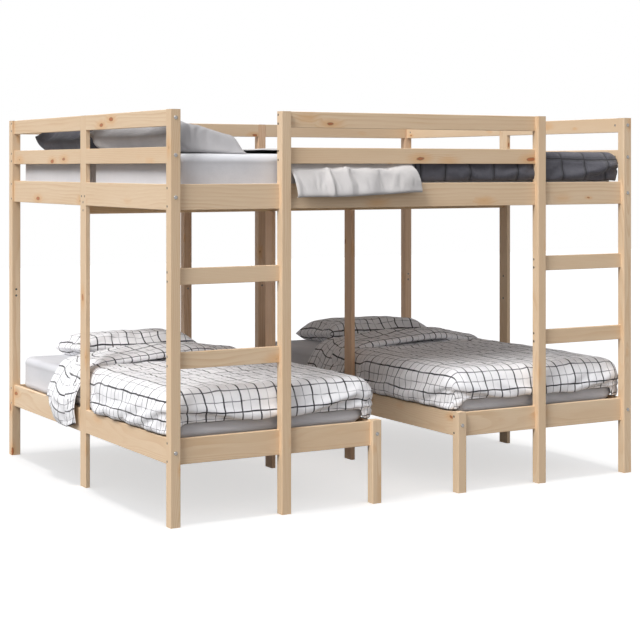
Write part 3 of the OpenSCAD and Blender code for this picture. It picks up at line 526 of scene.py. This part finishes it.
def cover(name, across, along, z, R, hems, mat, place, relief, turn=(0.0, 0.0), spill=None, lift=0.006,
          spare=0.03, hem_line=True, bend=1.5):
    """A duvet over the foot of a mattress. It lies at height z between across[0] and across[1] and from
    along[0], where it hangs over the foot, to along[1], where it ends, and its edges are rounded with R.
    hems are the heights of the left, right and foot hem, and turn says how far round the left and the
    right foot corner the side's hem goes on. place turns the bed's own axes into the scene's, spill
    pushes a spot sideways, and relief gives the push along the normal. The cloth then settles on its
    own filling."""
    def steps(a, b):
        k = max(2, int(round(abs(b - a) / COVER_STEP)))
        return [a + (b - a) * i / k for i in range(k + 1)]
    lo, hi = across[0] + R, across[1] - R
    start = along[0] + R
    n_side = max(8, int(round((R * 1.57 + z - R - min(hems)) / COVER_STEP)))
    # each entry says how far down the hang it is, where the flat part ends, and for S on which side
    S = [(1 - i / n_side, lo, -1) for i in range(n_side)] + [(0.0, x, 0) for x in steps(lo, hi)]
    S += [((i + 1) / n_side, hi, 1) for i in range(n_side)]
    T = [(1 - i / n_side, start) for i in range(n_side)] + [(0.0, y) for y in steps(start, along[1])]
    P = np.zeros((len(T), len(S), 3))
    UV = np.zeros((len(T), len(S), 2))
    M = np.zeros((len(T), len(S)))
    H = np.ones((len(T), len(S)))
    for j, (b, ty) in enumerate(T):
        for i, (a, sx, side) in enumerate(S):
            m = max(a, b)
            u, v, x, y, fall = sx, ty, sx, ty, 0.0
            if m > 0:
                th = math.atan2(b, a)
                k = ease(th / (math.pi / 2), turn[0 if side < 0 else 1], 1.0)
                side_hem = hems[0] if side < 0 else hems[1]
                hem = hems[2] if side == 0 else side_hem * (1 - k) + hems[2] * k
                full = R * math.pi / 2 + z - R - hem
                rho = m * full
                r, fall = bend_over(R, rho)
                x += side * math.cos(th) * r
                y -= math.sin(th) * r if side else r
                u += side * rho * a / m
                v -= rho * b / m
                M[j, i] = m            # 0 on the flat part, 1 at the hem
                H[j, i] = full - rho   # distance from the hem
            if spill:
                dx = spill(x, y)
                x += dx
                u += dx
            P[j, i] = (x, y, z - fall)
            UV[j, i] = (u, v)
    N = normals(P)
    if N[len(T) // 2, len(S) // 2, 2] < 0:
        N = -N
    Q = P.copy()
    for j in range(len(T)):
        for i in range(len(S)):
            Q[j, i] += N[j, i] * (lift + relief(P[j, i, 0], P[j, i, 1], P[j, i, 2], M[j, i], UV[j, i]))
    P = np.array([[place(*p) for p in row] for row in P])
    Q = np.array([[place(*p) for p in row] for row in Q])
    pins = np.where(M > 0.985, 1.0, 0.0)
    pins[-2:, :] = 1.0
    if normals(Q)[len(T) // 2, len(S) // 2, 2] < 0:
        P, Q, UV, H, pins = P[:, ::-1], Q[:, ::-1], UV[:, ::-1], H[:, ::-1], pins[:, ::-1]
    o = grid_object(name, Q, UV, mat, H if hem_line else None)
    filling = grid_object(name + "_filling", P, UV, None)
    settle(o, (filling,), spare=spare, pins=pins.ravel(), cap=0.020, bend=bend)
    drop(filling)
    return o


def curve_points(points, n):
    """n points along a smooth curve through the given ones, evenly spaced, and their distances."""
    pts = np.array(points, float)
    fine = []
    ext = np.vstack([2 * pts[0] - pts[1], pts, 2 * pts[-1] - pts[-2]])
    for k in range(1, len(ext) - 2):
        p0, p1, p2, p3 = ext[k - 1:k + 3]
        for s in np.linspace(0, 1, 24, endpoint=False):
            fine.append(0.5 * (2 * p1 + (p2 - p0) * s + (2 * p0 - 5 * p1 + 4 * p2 - p3) * s * s
                               + (3 * p1 - 3 * p2 + p3 - p0) * s ** 3))
    fine.append(pts[-1])
    fine = np.array(fine)
    d = np.concatenate([[0], np.cumsum(np.linalg.norm(np.diff(fine, axis=0), axis=1))])
    at = np.linspace(0, d[-1], n)
    return np.stack([np.interp(at, d, fine[:, k]) for k in range(fine.shape[1])], 1), at


# ---------------------------------------------------------------- mattresses
CORNER, EDGE = 0.045, 0.026              # radii of a mattress's upright corners and of its edges
CROWN = 0.004                            # how far its middle stands above its edge
BULGE_LOW, BULGE_HIGH = 0.303, 0.322     # heights between which the bulge over the rail comes out
BULGE_DEEP = 0.12                        # how far in from the side it starts


def mattress(name, node, seed, over):
    """A foam block in a fitted cover: soft edges, sides drawn in a little, a low crown. over is how far
    it bulges out over the rail on its right."""
    lo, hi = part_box(node)
    c = (lo + hi) / 2
    a, b = (hi.x - lo.x) / 2, (hi.y - lo.y) / 2
    r, z1, z2 = CORNER, lo.z, hi.z - CROWN
    e = EDGE
    h = z2 - z1
    # the profile from the middle of the underside to the middle of the top: inset from the side, height
    prof = [(-0.32, 0.0), (-0.08, 0.0), (-e, 0.0)]
    for t in map(math.radians, (30, 60, 90)):
        prof.append((-e * (1 - math.sin(t)), e * (1 - math.cos(t))))
    prof += [(-0.0022, h * k) for k in (0.24, 0.32, 0.41, 0.46, 0.5, 0.55, 0.60, 0.68, 0.76)]
    for t in map(math.radians, (0, 30, 60)):
        prof.append((-e * (1 - math.cos(t)), h - e * (1 - math.sin(t))))
    prof += [(-e, h), (-0.08, h + 0.0022), (-0.18, h + 0.0035), (-0.32, h + CROWN)]
    # the outline from above: the centre of each corner's arc or a point between two, and the way out
    corners = [(sx * (a - r), sy * (b - r)) for sx, sy in ((1, 1), (-1, 1), (-1, -1), (1, -1))]
    ring = []
    for q, (x1, y1) in enumerate(corners):
        x2, y2 = corners[(q + 1) % 4]
        for k in range(7):
            t = math.radians(90 * q + 15 * k)
            ring.append((x1, y1, math.cos(t), math.sin(t)))
        t = math.radians(90 * q + 90)
        n = 40 if q % 2 else 24
        for k in range(1, n):
            ring.append((x1 + (x2 - x1) * k / n, y1 + (y2 - y1) * k / n, math.cos(t), math.sin(t)))
    verts, uvs = [], []
    run = 0.0
    n = len(ring)
    for k, (inset, rise) in enumerate(prof):
        if k:
            run += math.hypot(inset - prof[k - 1][0], rise - prof[k - 1][1])
        d = 0.0
        for i, (cx, cy, nx, ny) in enumerate(ring):
            side = ease(rise, 0.0, 0.03) * (1 - ease(rise, h - 0.02, h)) if inset > -0.03 else 0.0
            R = r + inset + side * 0.0016 * (fbm((cx + nx) * 5 + seed, (cy + ny) * 5, rise * 6, 3) - 0.8)
            fx = cx + nx * R if R > 0 else cx * max(0.0, 1 + R / (a - r)) + nx * 0.001
            fy = cy + ny * R if R > 0 else cy * max(0.0, 1 + R / (b - r)) + ny * 0.001
            if i:
                d += math.hypot(fx + c.x - verts[-1][0], fy + c.y - verts[-1][1])
            out = over * ease(fx, a - BULGE_DEEP, a) * ease(z1 + rise, BULGE_LOW, BULGE_HIGH)
            wave = 0.0008 * fbm(fx * 4, fy * 4, seed) * (rise > 0.1)
            verts.append((fx + c.x + out, fy + c.y, z1 + rise + wave))
            uvs.append((d, run))
    faces = [(k * n + i, k * n + (i + 1) % n, (k + 1) * n + (i + 1) % n, (k + 1) * n + i)
             for k in range(len(prof) - 1) for i in range(n)]
    top = (len(prof) - 1) * n
    verts += [(c.x, c.y, z1), (c.x, c.y, z1 + h + CROWN)]
    uvs += [(0.0, -0.3), (0.0, run + 0.3)]
    faces += [(n * len(prof), (i + 1) % n, i) for i in range(n)]
    faces += [(n * len(prof) + 1, top + i, top + (i + 1) % n) for i in range(n)]
    o = new_mesh(name, verts, faces, uvs, [(1.0, 1.0)] * len(verts), ticking)
    return finish(o, node)


OVER_RAIL = {"low_left": 0.033, "low_right": 0.022, "deck_front": 0.0, "deck_back": 0.0}
for k, (place, over) in enumerate(OVER_RAIL.items()):
    mattress(place + "_mattress_foam", place + "_mattress", 3.0 * k, over)


# ---------------------------------------------------------------- lower duvets
RAIL_TOP = 0.302                          # height of the lower rails' upper edge
FOOT_HEM = 0.343                          # height of the duvet's hem at the foot
PLANK_FRONT, PLANK_BACK = 0.785, 0.843    # where the side plank or prop stands along the bed
FOLD_AT = 0.856                           # where the turned end's front edge lies
FOLD_DEPTH, FOLD_SKEW = 0.300, 0.062      # how far back it reaches, and how much less on the right
FOLD_BACK = 0.090                         # how far its front edge sweeps back to the right
FOLD_LINE = 0.150                         # how far round from its lower hem a second dark line runs
# rows of the turned end: distance behind its front edge, and the layer, -1 the lower and 0 the upper one
FOLD_ROWS = [(0.120, -1.0), (0.070, -1.0), (0.030, -1.0), (0.010, -0.93), (-0.004, -0.72),
             (-0.009, -0.45), (-0.005, -0.18), (0.006, 0.0)]
FOLD_START = FOLD_ROWS[-1][0]
FOLD_ROWS += [(FOLD_START + (FOLD_DEPTH - FOLD_START) * k / 20.0, 0.0) for k in range(1, 21)]


def low_bed(side, x_rail, right_spill, seed):
    """The duvet of a lower bed. x_rail is the left face of the bed's left side rail."""
    lo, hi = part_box(side + "_mattress")
    ml, mr, mf = lo.x, hi.x, lo.y
    top = hi.z
    left, right = ml - 0.008, mr + 0.008

    def spill(x, y):
        fade = 1 - ease(y, PLANK_FRONT - 0.13, PLANK_FRONT - 0.02)
        return fade * (right_spill * ease(x, right - 0.16, right) - 0.019 * ease(-x, -left - 0.10, -left))

    def relief(x, y, z, m, uv):
        inner = 1 - m
        cx = (x - ml) / (mr - ml)
        crown = 0.012 * inner * math.sin(math.pi * min(1, max(0, cx))) ** 0.7
        lumps = 0.011 * fbm(x * 3.1 + seed, y * 2.3, 1.0, 2) * inner
        ridge = 1 - abs(fbm(x * 4.2 + y * 2.0 + seed, y * 3.1 - x * 1.1, 4.0, 2))
        creases = 0.011 * ridge ** 4 * inner
        hang = 0.0
        if m > 0.35:
            w = ease(m, 0.35, 1.0)
            along = y if (x < ml + 0.02 or x > mr - 0.02) else x
            hang = w * (0.003 * math.sin(along * 41 + seed) + 0.004 * fbm(along * 9 + seed, z * 3, 5.0, 2))
        return crown + lumps + creases + hang

    o = cover(side + "_duvet_foot", (left, right), (mf - 0.006, 1.000), top + 0.026, 0.056,
              (RAIL_TOP + 0.0035, RAIL_TOP + 0.0040, FOOT_HEM), check_cloth,
              lambda x, y, z: (x, y, z), relief, turn=(0.55, 0.88), spill=spill, spare=0.035)
    # the cloth stays on its own side of the upright beside it
    co = coords(o.data)
    face = x_rail + 0.0205
    for k, (x, y, z) in enumerate(co):
        beside = ease(y, PLANK_FRONT - 0.045, PLANK_FRONT - 0.010)
        beside *= 1 - ease(y, PLANK_BACK + 0.010, PLANK_BACK + 0.045)
        co[k, 0] += beside * max(0.0, face - x)
    set_coords(o, co)
    finish(o, side + "_duvet", thick=0.007)

    # the turned back end: it hangs over the side rail on the left and lies over the foot part
    n_s = 96
    rows, uvs, hem, fix = [], [], [], []
    run, last = 0.0, None
    for k, (dy, layer) in enumerate(FOLD_ROWS):
        s_ = max(0.0, dy) / FOLD_DEPTH
        puff = 0.058 + 0.030 * math.sin(math.pi * min(1, s_ * 0.9 + 0.12)) ** 0.8
        flap = 0.240 - 0.026 * math.sin(math.pi * min(1.0, s_ * 1.25)) + 0.030 * ease(s_, 0.55, 1.0)
        wv = 0.006 * math.sin(11.0 * s_ + seed)
        # the row from the hem of the flap outside the rail, over the bed, to the right side
        pts = [(x_rail - 0.020 - wv, flap), (x_rail - 0.026 - wv, flap + 0.045), (x_rail - 0.026, 0.306),
               (x_rail - 0.016, 0.356), (ml - 0.012, top - 0.010), (ml + 0.030, top + puff * 0.46),
               (ml + 0.13, top + puff * 0.78), (ml + 0.34, top + puff), (ml + 0.52, top + puff * 0.98),
               (mr - 0.120, top + puff * 0.66), (mr - 0.022, top + puff * 0.30 + 0.004),
               (mr + 0.006, top - 0.035), (mr + 0.0085, top - 0.085)]
        C, at = curve_points(pts, n_s)
        tang = np.gradient(C, axis=0)
        nrm = np.stack([-tang[:, 1], tang[:, 0]], 1)
        nrm /= np.linalg.norm(nrm, axis=1, keepdims=True)
        thk = np.interp(at / at[-1], [0, 0.22, 0.30, 0.90, 1], [0.010, 0.012, 0.034, 0.034, 0.006])
        row = []
        for i in range(n_s):
            w = 0.007 * fbm(C[i, 0] * 6 + seed, dy * 7, 2.0, 3) * (1 if layer == 0 else 0.3)
            w += 0.005 * math.sin(C[i, 0] * 17 + seed + 6 * s_) * ease(s_, 0.0, 0.2)
            w *= 0.5 if at[i] < 0.2 else 0.0 if at[i] > at[-1] - 0.10 else 1.0
            px, pz = C[i] + nrm[i] * (layer * thk[i] + w)
            share = min(1.0, max(0.0, (C[i, 0] - x_rail) / (mr - x_rail)))
            back = FOLD_BACK * ease(share, 0.30, 0.95)
            y = FOLD_AT + back + dy * (1 - (FOLD_SKEW * share + back) / FOLD_DEPTH * ease(dy, 0.0, 0.1))
            row.append((px, y + 0.008 * math.sin(at[i] * 8 + seed) * (1 - ease(s_, 0, 0.3)), pz))
        here = np.array(row)
        if last is not None:
            run += float(np.linalg.norm(here[n_s // 2] - last[n_s // 2]))
        last = here
        rows.append(row)
        uvs.append([(a_ + 0.012, run) for a_ in at])
        hem.append([min(a_, abs(run - FOLD_LINE) if k < 9 and a_ < 0.30 else 1.0) for a_ in at])
        edge_row = k < 8 or k == len(FOLD_ROWS) - 1
        fix.append([1.0 if (edge_row or i < 2 or i > n_s - 8) else 0.0 for i in range(n_s)])
    P = np.array(rows)[::-1]
    o = grid_object(side + "_duvet_turned", P, np.array(uvs)[::-1], check_cloth, np.array(hem)[::-1])
    under = P - normals(P) * 0.006
    filling = grid_object(side + "_turned_filling", under, np.array(uvs)[::-1], None)
    settle(o, (filling,), spare=0.020, pins=np.array(fix)[::-1].ravel(), cap=0.012, bend=1.0)
    drop(filling)
    finish(o, side + "_duvet", thick=0.005)


low_bed("low_left", -0.009, 0.040, 0.0)
low_bed("low_right", 1.190, 0.028, 4.7)


# ---------------------------------------------------------------- pillows
def pillow(name, node, l, w, t, pose, mat, seed, floor, swell=0.022, slump=None, ridges=0.0):
    """A pillow l long, w wide and t thick with a seam all round. It starts slack, thinner by twice
    swell, and is then blown up to its fullness. pose is its place, floor gives the height of what it
    lies on, slump how much of its height over that stays, and ridges the height of its creases."""
    nu, nv = 56, 34

    def even(k, n):
        s = 2 * k / n - 1
        return math.sin(math.pi / 2 * s) * 0.30 + s * 0.70

    verts, uvs, faces, index = [], [], [], {}
    for side in (1, -1):
        for j in range(nv + 1):
            for i in range(nu + 1):
                rim = i in (0, nu) or j in (0, nv)
                if rim and side < 0:
                    index[side, i, j] = index[1, i, j]
                    continue
                x, y = even(i, nu), even(j, nv)
                full = max(0.0, (1 - abs(x) ** 3) * (1 - abs(y) ** 3)) ** 0.5
                px = l / 2 * x * (1 - 0.040 * (1 - y * y))
                py = w / 2 * y * (1 - 0.055 * (1 - x * x))
                dent = 0.008 * fbm(x * 1.9 + seed, y * 1.6, side * 2.0, 3) * full
                verts.append((px, py, side * (t / 2 - swell) * full * (0.85 if side < 0 else 1.0) + dent))
                uvs.append((x * l / 2 + l, y * w / 2 + w))
                index[side, i, j] = len(verts) - 1
        for j in range(nv):
            for i in range(nu):
                q = [index[side, i + a, j + b] for a, b in ((0, 0), (1, 0), (1, 1), (0, 1))]
                faces.append(q if side > 0 else q[::-1])
    o = new_mesh(name, verts, faces, uvs, [(1.0, 1.0)] * len(verts), mat)
    settle(o, frames=20, pressure=7.0, gravity=0.0, cap=swell + 0.012, bend=0.4)
    co = coords(o.data)
    co *= np.array([l / 2, w / 2, np.abs(co[:, 2]).max()]) / np.abs(co).max(axis=0)
    high = co[:, 2] / (t / 2)
    for k, (x, y, z) in enumerate(co):
        if ridges and z > 0:
            fold = 1 - abs(fbm(x * 5.0 + y * 6.5 + seed, y * 2.2 - x * 1.4, seed, 2))
            co[k, 2] += ridges * (fold ** 3 - 0.35) * min(1.0, high[k] * 2)
    co = co @ np.array(pose.to_3x3()).T + np.array(pose.translation)
    for k, (x, y, z) in enumerate(co):
        low = floor(x, y)
        if low is None:
            continue
        if slump:
            z = low + max(0.0, z - low) * slump(x, y, high[k])
        co[k, 2] = max(z, low)
    set_coords(o, co)
    return finish(o, node)


def node_mid(node):
    lo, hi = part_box(node)
    return (lo + hi) / 2


def on_mattress(node):
    """The height of a mattress's top under a spot, or None beside it."""
    lo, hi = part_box(node)

    def height(x, y):
        if not (lo.x < x < hi.x and lo.y < y < hi.y):
            return None
        edge = min(x - lo.x, hi.x - x, y - lo.y, hi.y - y)
        return hi.z - CROWN * (1 - ease(edge, 0.0, 0.16)) - 0.012 * (1 - ease(edge, 0.0, 0.022)) + 0.0012
    return height


def posed(at, axis, tilt, turn):
    tilted = Matrix.Translation(Vector(at)) @ Matrix.Rotation(math.radians(tilt), 4, axis)
    return tilted @ Matrix.Rotation(math.radians(turn), 4, "Z")


for side, seed in (("low_left", 0.0), ("low_right", 3.0)):
    c = node_mid(side + "_pillow")
    pillow(side + "_pillow_soft", side + "_pillow", 0.530, 0.405, 0.106,
           posed((c.x, c.y, c.z - 0.007), "X", -4, -5),
           check_cloth, seed, on_mattress(side + "_mattress"))


def on_deck(x, y):
    return on_mattress("deck_front_mattress")(x, y) or on_mattress("deck_back_mattress")(x, y)


def slumped(x, y, high):
    """The filling sinks down to the mattress, but not where the pillow leans on the guard."""
    lean = 1 - ease(x, 0.020, 0.110)
    down = ease(high, -0.25, 0.85)
    return (0.06 + 0.94 * down) * (1 - lean) + lean * (0.75 + 0.25 * ease(high, -0.6, 0.4))


deck_lo, deck_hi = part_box("deck_front_mattress")
deck_top = deck_hi.z


def deck_pillow(node, l, y, mat, seed):
    """A pillow that leans on the left guard."""
    w, lean = 0.316, 14
    x = 0.012 + w / 2 * math.cos(math.radians(lean))
    z = deck_top + 0.008 + w / 2 * math.sin(math.radians(lean))
    pillow(node + "_soft", node, l, w, 0.082, posed((x, y, z), "Y", lean, 90), mat, seed,
           on_deck, swell=0.020, slump=slumped, ridges=0.007)


lo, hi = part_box("deck_left_pillow")
deck_pillow("deck_left_pillow", 0.790, (lo.y + hi.y) / 2, grey_cloth, 1.0)
lo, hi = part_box("deck_back_pillow")
deck_pillow("deck_back_pillow", 0.590, lo.y + 0.298, charcoal_cloth, 6.0)


# ---------------------------------------------------------------- deck bedding
QUILT_PUFF = 0.008   # how far a quilt's squares stand out between their seams


def quilt(uv):
    a = abs((uv[0] / QUILT) % 1.0 - 0.5) * 2
    b = abs((uv[1] / QUILT + QUILT_SHIFT) % 1.0 - 0.5) * 2
    return QUILT_PUFF * ((1 - a ** 7) * (1 - b ** 7)) ** 0.5 - QUILT_PUFF * 0.5


def deck_cover(name, node, y0, y1, x_end, x_start, hems, seed):
    """A quilt from y0 to y1 that hangs over the deck's right end at x_end and starts at x_start."""
    def relief(x, y, z, m, uv):
        inner = 1 - m
        crown = 0.008 * inner * math.sin(math.pi * min(1, max(0, x / (y1 - y0)))) ** 0.7
        lumps = 0.005 * fbm(x * 3.0 + seed, y * 2.6, 1.0, 3) * inner
        lumps += 0.014 * ease(-y, -0.30, -0.06) * inner   # higher towards the deck's right end
        folds = 0.004 * fbm(x * 9.0 + y * 7.0, z * 12.0, seed, 3) * m
        return crown + lumps + folds + quilt(uv) * (1 - 0.3 * m)
    # the bed's own axes: across runs from the front to the back, along runs from the right end to the left
    o = cover(name, (0.0, y1 - y0), (0.0, x_end - x_start), deck_top + 0.004, 0.034, hems, charcoal_quilt,
              lambda x, y, z: (x_end - y, y0 + x, z), relief, lift=0.004, spare=0.015, hem_line=False,
              bend=1.0)
    return finish(o, node, thick=0.010)


deck_cover("deck_duvet_soft", "deck_duvet", deck_lo.y - 0.0085, deck_hi.y + 0.002, deck_hi.x + 0.009,
           1.012, (1.1845, 1.255, 1.1845), 2.0)
back_lo, back_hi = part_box("deck_back_mattress")
deck_cover("deck_back_duvet_soft", "deck_back_duvet", back_lo.y - 0.002, back_hi.y, back_hi.x + 0.009,
           0.462, (1.255, 1.262, 1.232), 7.0)

# the light cloth turned over the front rail: it slips out under the guard board and hangs in soft folds
SHEET_LEFT, SHEET_RIGHT, SHEET_LENGTH = 0.464, 0.968, 0.89
SHEET_FREE = 0.66   # metres along it, from where on it may settle: it comes out under the guard there
# upright folds: place across the cloth as a share of its width, half width and height
FOLDS = ((0.02, 0.020, 0.5), (0.300, 0.022, 1.2), (0.455, 0.045, 1.0), (0.630, 0.060, 0.8),
         (0.900, 0.090, 0.7))
# dents in the hang: place across and down, half width and depth
DENTS = ((0.165, 0.55, 0.060, 0.9), (0.52, 0.70, 0.050, 0.7), (0.74, 0.78, 0.040, 0.6),
         (0.20, 0.85, 0.050, 0.5))
n_x, n_s = 120, 72
rows, uvs, fix = [], [], []
for k in range(n_x + 1):
    u = k / n_x
    x = SHEET_LEFT + (SHEET_RIGHT - SHEET_LEFT) * u
    # the height of the lower hem
    end = 1.1290 + 0.008 * ease(u, 0.0, 0.50) + 0.003 * math.sin(9 * u + 1) + 0.011 * ease(u, 0.70, 1.0)
    z = deck_top
    fold = sum(a_ * math.exp(-abs((u - c_) / w_) ** 1.7) for c_, w_, a_ in FOLDS)
    w = 0.012 * fold + 0.003 * fbm(u * 6, 0.3, 2.0, 2)
    off = 0.014 * (1 - ease(u, 0.35, 1.0))
    # over the mattress, down to the rail's top, over it and down to the hem, which turns in
    pts = [(0.700, z + 0.006), (0.520, z + 0.014), (0.330, z + 0.016 + 0.005 * math.sin(12 * u)),
           (0.150, z + 0.014), (0.070, z + 0.012), (0.036, z - 0.010), (0.0205, 1.2620),
           (0.0090, 1.2400 + 0.004 * fold), (-0.004, 1.2330 + 0.007 * fold), (-0.0130 - 0.7 * w, 1.2180),
           (-0.0210 - w - 0.4 * off, 1.1900), (-0.0270 - w - 0.8 * off, 1.1620),
           (-0.0330 - 0.6 * w - off, end + 0.004), (-0.0290 - 0.5 * w - off, end - 0.002),
           (-0.0200 - off, end + 0.003)]
    C, at = curve_points(pts, n_s)
    row = []
    for i in range(n_s):
        far = ease(at[i] / at[-1], 0.72, 1.0)
        skew = 0.003 * (1 - ease(u, 0, 0.25)) * far + 0.042 * ease(u, 0.45, 1.0) * far
        deep = sum(a_ * math.exp(-((u - c_) / w_) ** 2 - ((far - h_) / 0.16) ** 2)
                   for c_, h_, w_, a_ in DENTS)
        rest = 0.003 * fbm(x * 8, C[i, 0] * 8, 1.0, 3) if C[i, 0] > 0.1 else 0.0
        row.append((x + skew, C[i, 0] + 0.008 * deep, C[i, 1] + rest))
    rows.append(row)
    uvs.append([(x, a_) for a_ in at])
    fix.append([1.0 if (at[i] < SHEET_FREE or i > n_s - 5) else 0.0 for i in range(n_s)])
P, UV, PIN = np.array(rows)[:, ::-1], np.array(uvs)[:, ::-1], np.array(fix)[:, ::-1]
sheet = grid_object("deck_turned_sheet_soft", P, UV, light_cloth)
settle(sheet, spare=0.03, pins=PIN.ravel(), cap=0.006, bend=0.3, gravity=0.0)
finish(sheet, "deck_turned_sheet", thick=0.003)


# ---------------------------------------------------------------- camera, light and floor
# fitted to the photograph: its side, the focal length and the horizon's row, all in pixels
FRAME, FOCAL, HORIZON = 640.0, 1610.3, 167.44
SENSOR = 36.0
cam_data = bpy.data.cameras.new("camera")
cam_data.sensor_width = SENSOR
cam_data.lens = SENSOR * FOCAL / FRAME
cam_data.shift_y = (HORIZON - FRAME / 2) / FRAME
cam = bpy.data.objects.new("camera", cam_data)
cam.location = (-2.33595, -5.06025, 1.2398)
cam.rotation_euler = (math.radians(90.0), 0.0, -0.5233)
scene.collection.objects.link(cam)
scene.camera = cam

# the studio: a pale room that the camera and reflections see as white
AMBIENT = 0.275   # light from the room
FRONT = 1.7       # how much more of it comes from the front
world = bpy.data.worlds.new("studio")
scene.world = world
world.use_nodes = True
wt = world.node_tree
bg = wt.nodes["Background"]
path = wt.nodes.new("ShaderNodeLightPath")
seen = path.outputs["Is Camera Ray"]
for other in ("Is Transmission Ray", "Is Glossy Ray"):
    most = wt.nodes.new("ShaderNodeMath")
    most.operation = "MAXIMUM"
    wt.links.new(seen, most.inputs[0])
    wt.links.new(path.outputs[other], most.inputs[1])
    seen = most.outputs[0]
pick = wt.nodes.new("ShaderNodeMix")
pick.data_type = "RGBA"
wt.links.new(seen, pick.inputs[0])
# the room is brighter in front of the bed, and a little cool
towards = wt.nodes.new("ShaderNodeSeparateXYZ")
wt.links.new(wt.nodes.new("ShaderNodeTexCoord").outputs["Generated"], towards.inputs[0])
front = wt.nodes.new("ShaderNodeMapRange")
wt.links.new(towards.outputs[1], front.inputs[0])
for v, socket in zip((0.0, -1.0, AMBIENT, AMBIENT * (1 + FRONT)), list(front.inputs)[1:5]):
    socket.default_value = v
tint = wt.nodes.new("ShaderNodeVectorMath")
tint.operation = "SCALE"
tint.inputs[0].default_value = (0.99, 1.0, 1.03)
wt.links.new(front.outputs[0], tint.inputs["Scale"])
wt.links.new(tint.outputs[0], pick.inputs[6])
pick.inputs[7].default_value = (1.0, 1.0, 1.0, 1.0)
wt.links.new(pick.outputs[2], bg.inputs["Color"])


def sun(name, towards, strength, angle):
    data = bpy.data.lights.new(name, "SUN")
    data.energy = strength
    data.angle = math.radians(angle)
    o = bpy.data.objects.new(name, data)
    o.rotation_euler = (-Vector(towards)).to_track_quat("-Z", "Y").to_euler()
    scene.collection.objects.link(o)
    return o


# a large soft lamp at the upper left lights the bed, and one above it casts the shadow on the floor
key = sun("key", (-0.655, -0.250, 0.713), 3.12, 32.0)
sun("overhead", (-0.02, -0.02, 1.0), 0.82, 9.0)

floor_mesh = bpy.data.meshes.new("floor")
s, z = 14.0, -0.0006
floor_mesh.from_pydata([(-s, -s, z), (s, -s, z), (s, s, z), (-s, s, z)], [], [(0, 1, 2, 3)])
floor = bpy.data.objects.new("floor", floor_mesh)
scene.collection.objects.link(floor)
# the camera and reflections see it white with a soft shadow, but it throws little light back
ft = Tree("floor_white")
ft.set(Roughness=0.9)
ft.bsdf.inputs["Specular IOR Level"].default_value = 0.0
lp = ft.add("ShaderNodeLightPath")
see = ft.math("MAXIMUM", lp.outputs["Is Camera Ray"], lp.outputs["Is Glossy Ray"])
ft.set(Base_Color=ft.mix(see, (0.30, 0.30, 0.30, 1.0), (0.80, 0.80, 0.80, 1.0)))
ft.set(Emission_Color=(1.0, 1.0, 1.0, 1.0), Emission_Strength=ft.math("MULTIPLY", see, 0.60))
floor_mesh.materials.append(ft.mat)
# the key lamp lights the bed alone, so that only the lamp above casts a shadow on the floor
bed_only = bpy.data.collections.new("bed_only")
for o in scene.objects:
    if o.type == "MESH" and o is not floor:
        bed_only.objects.link(o)
key.light_linking.receiver_collection = bed_only

scene.view_settings.view_transform = "Standard"
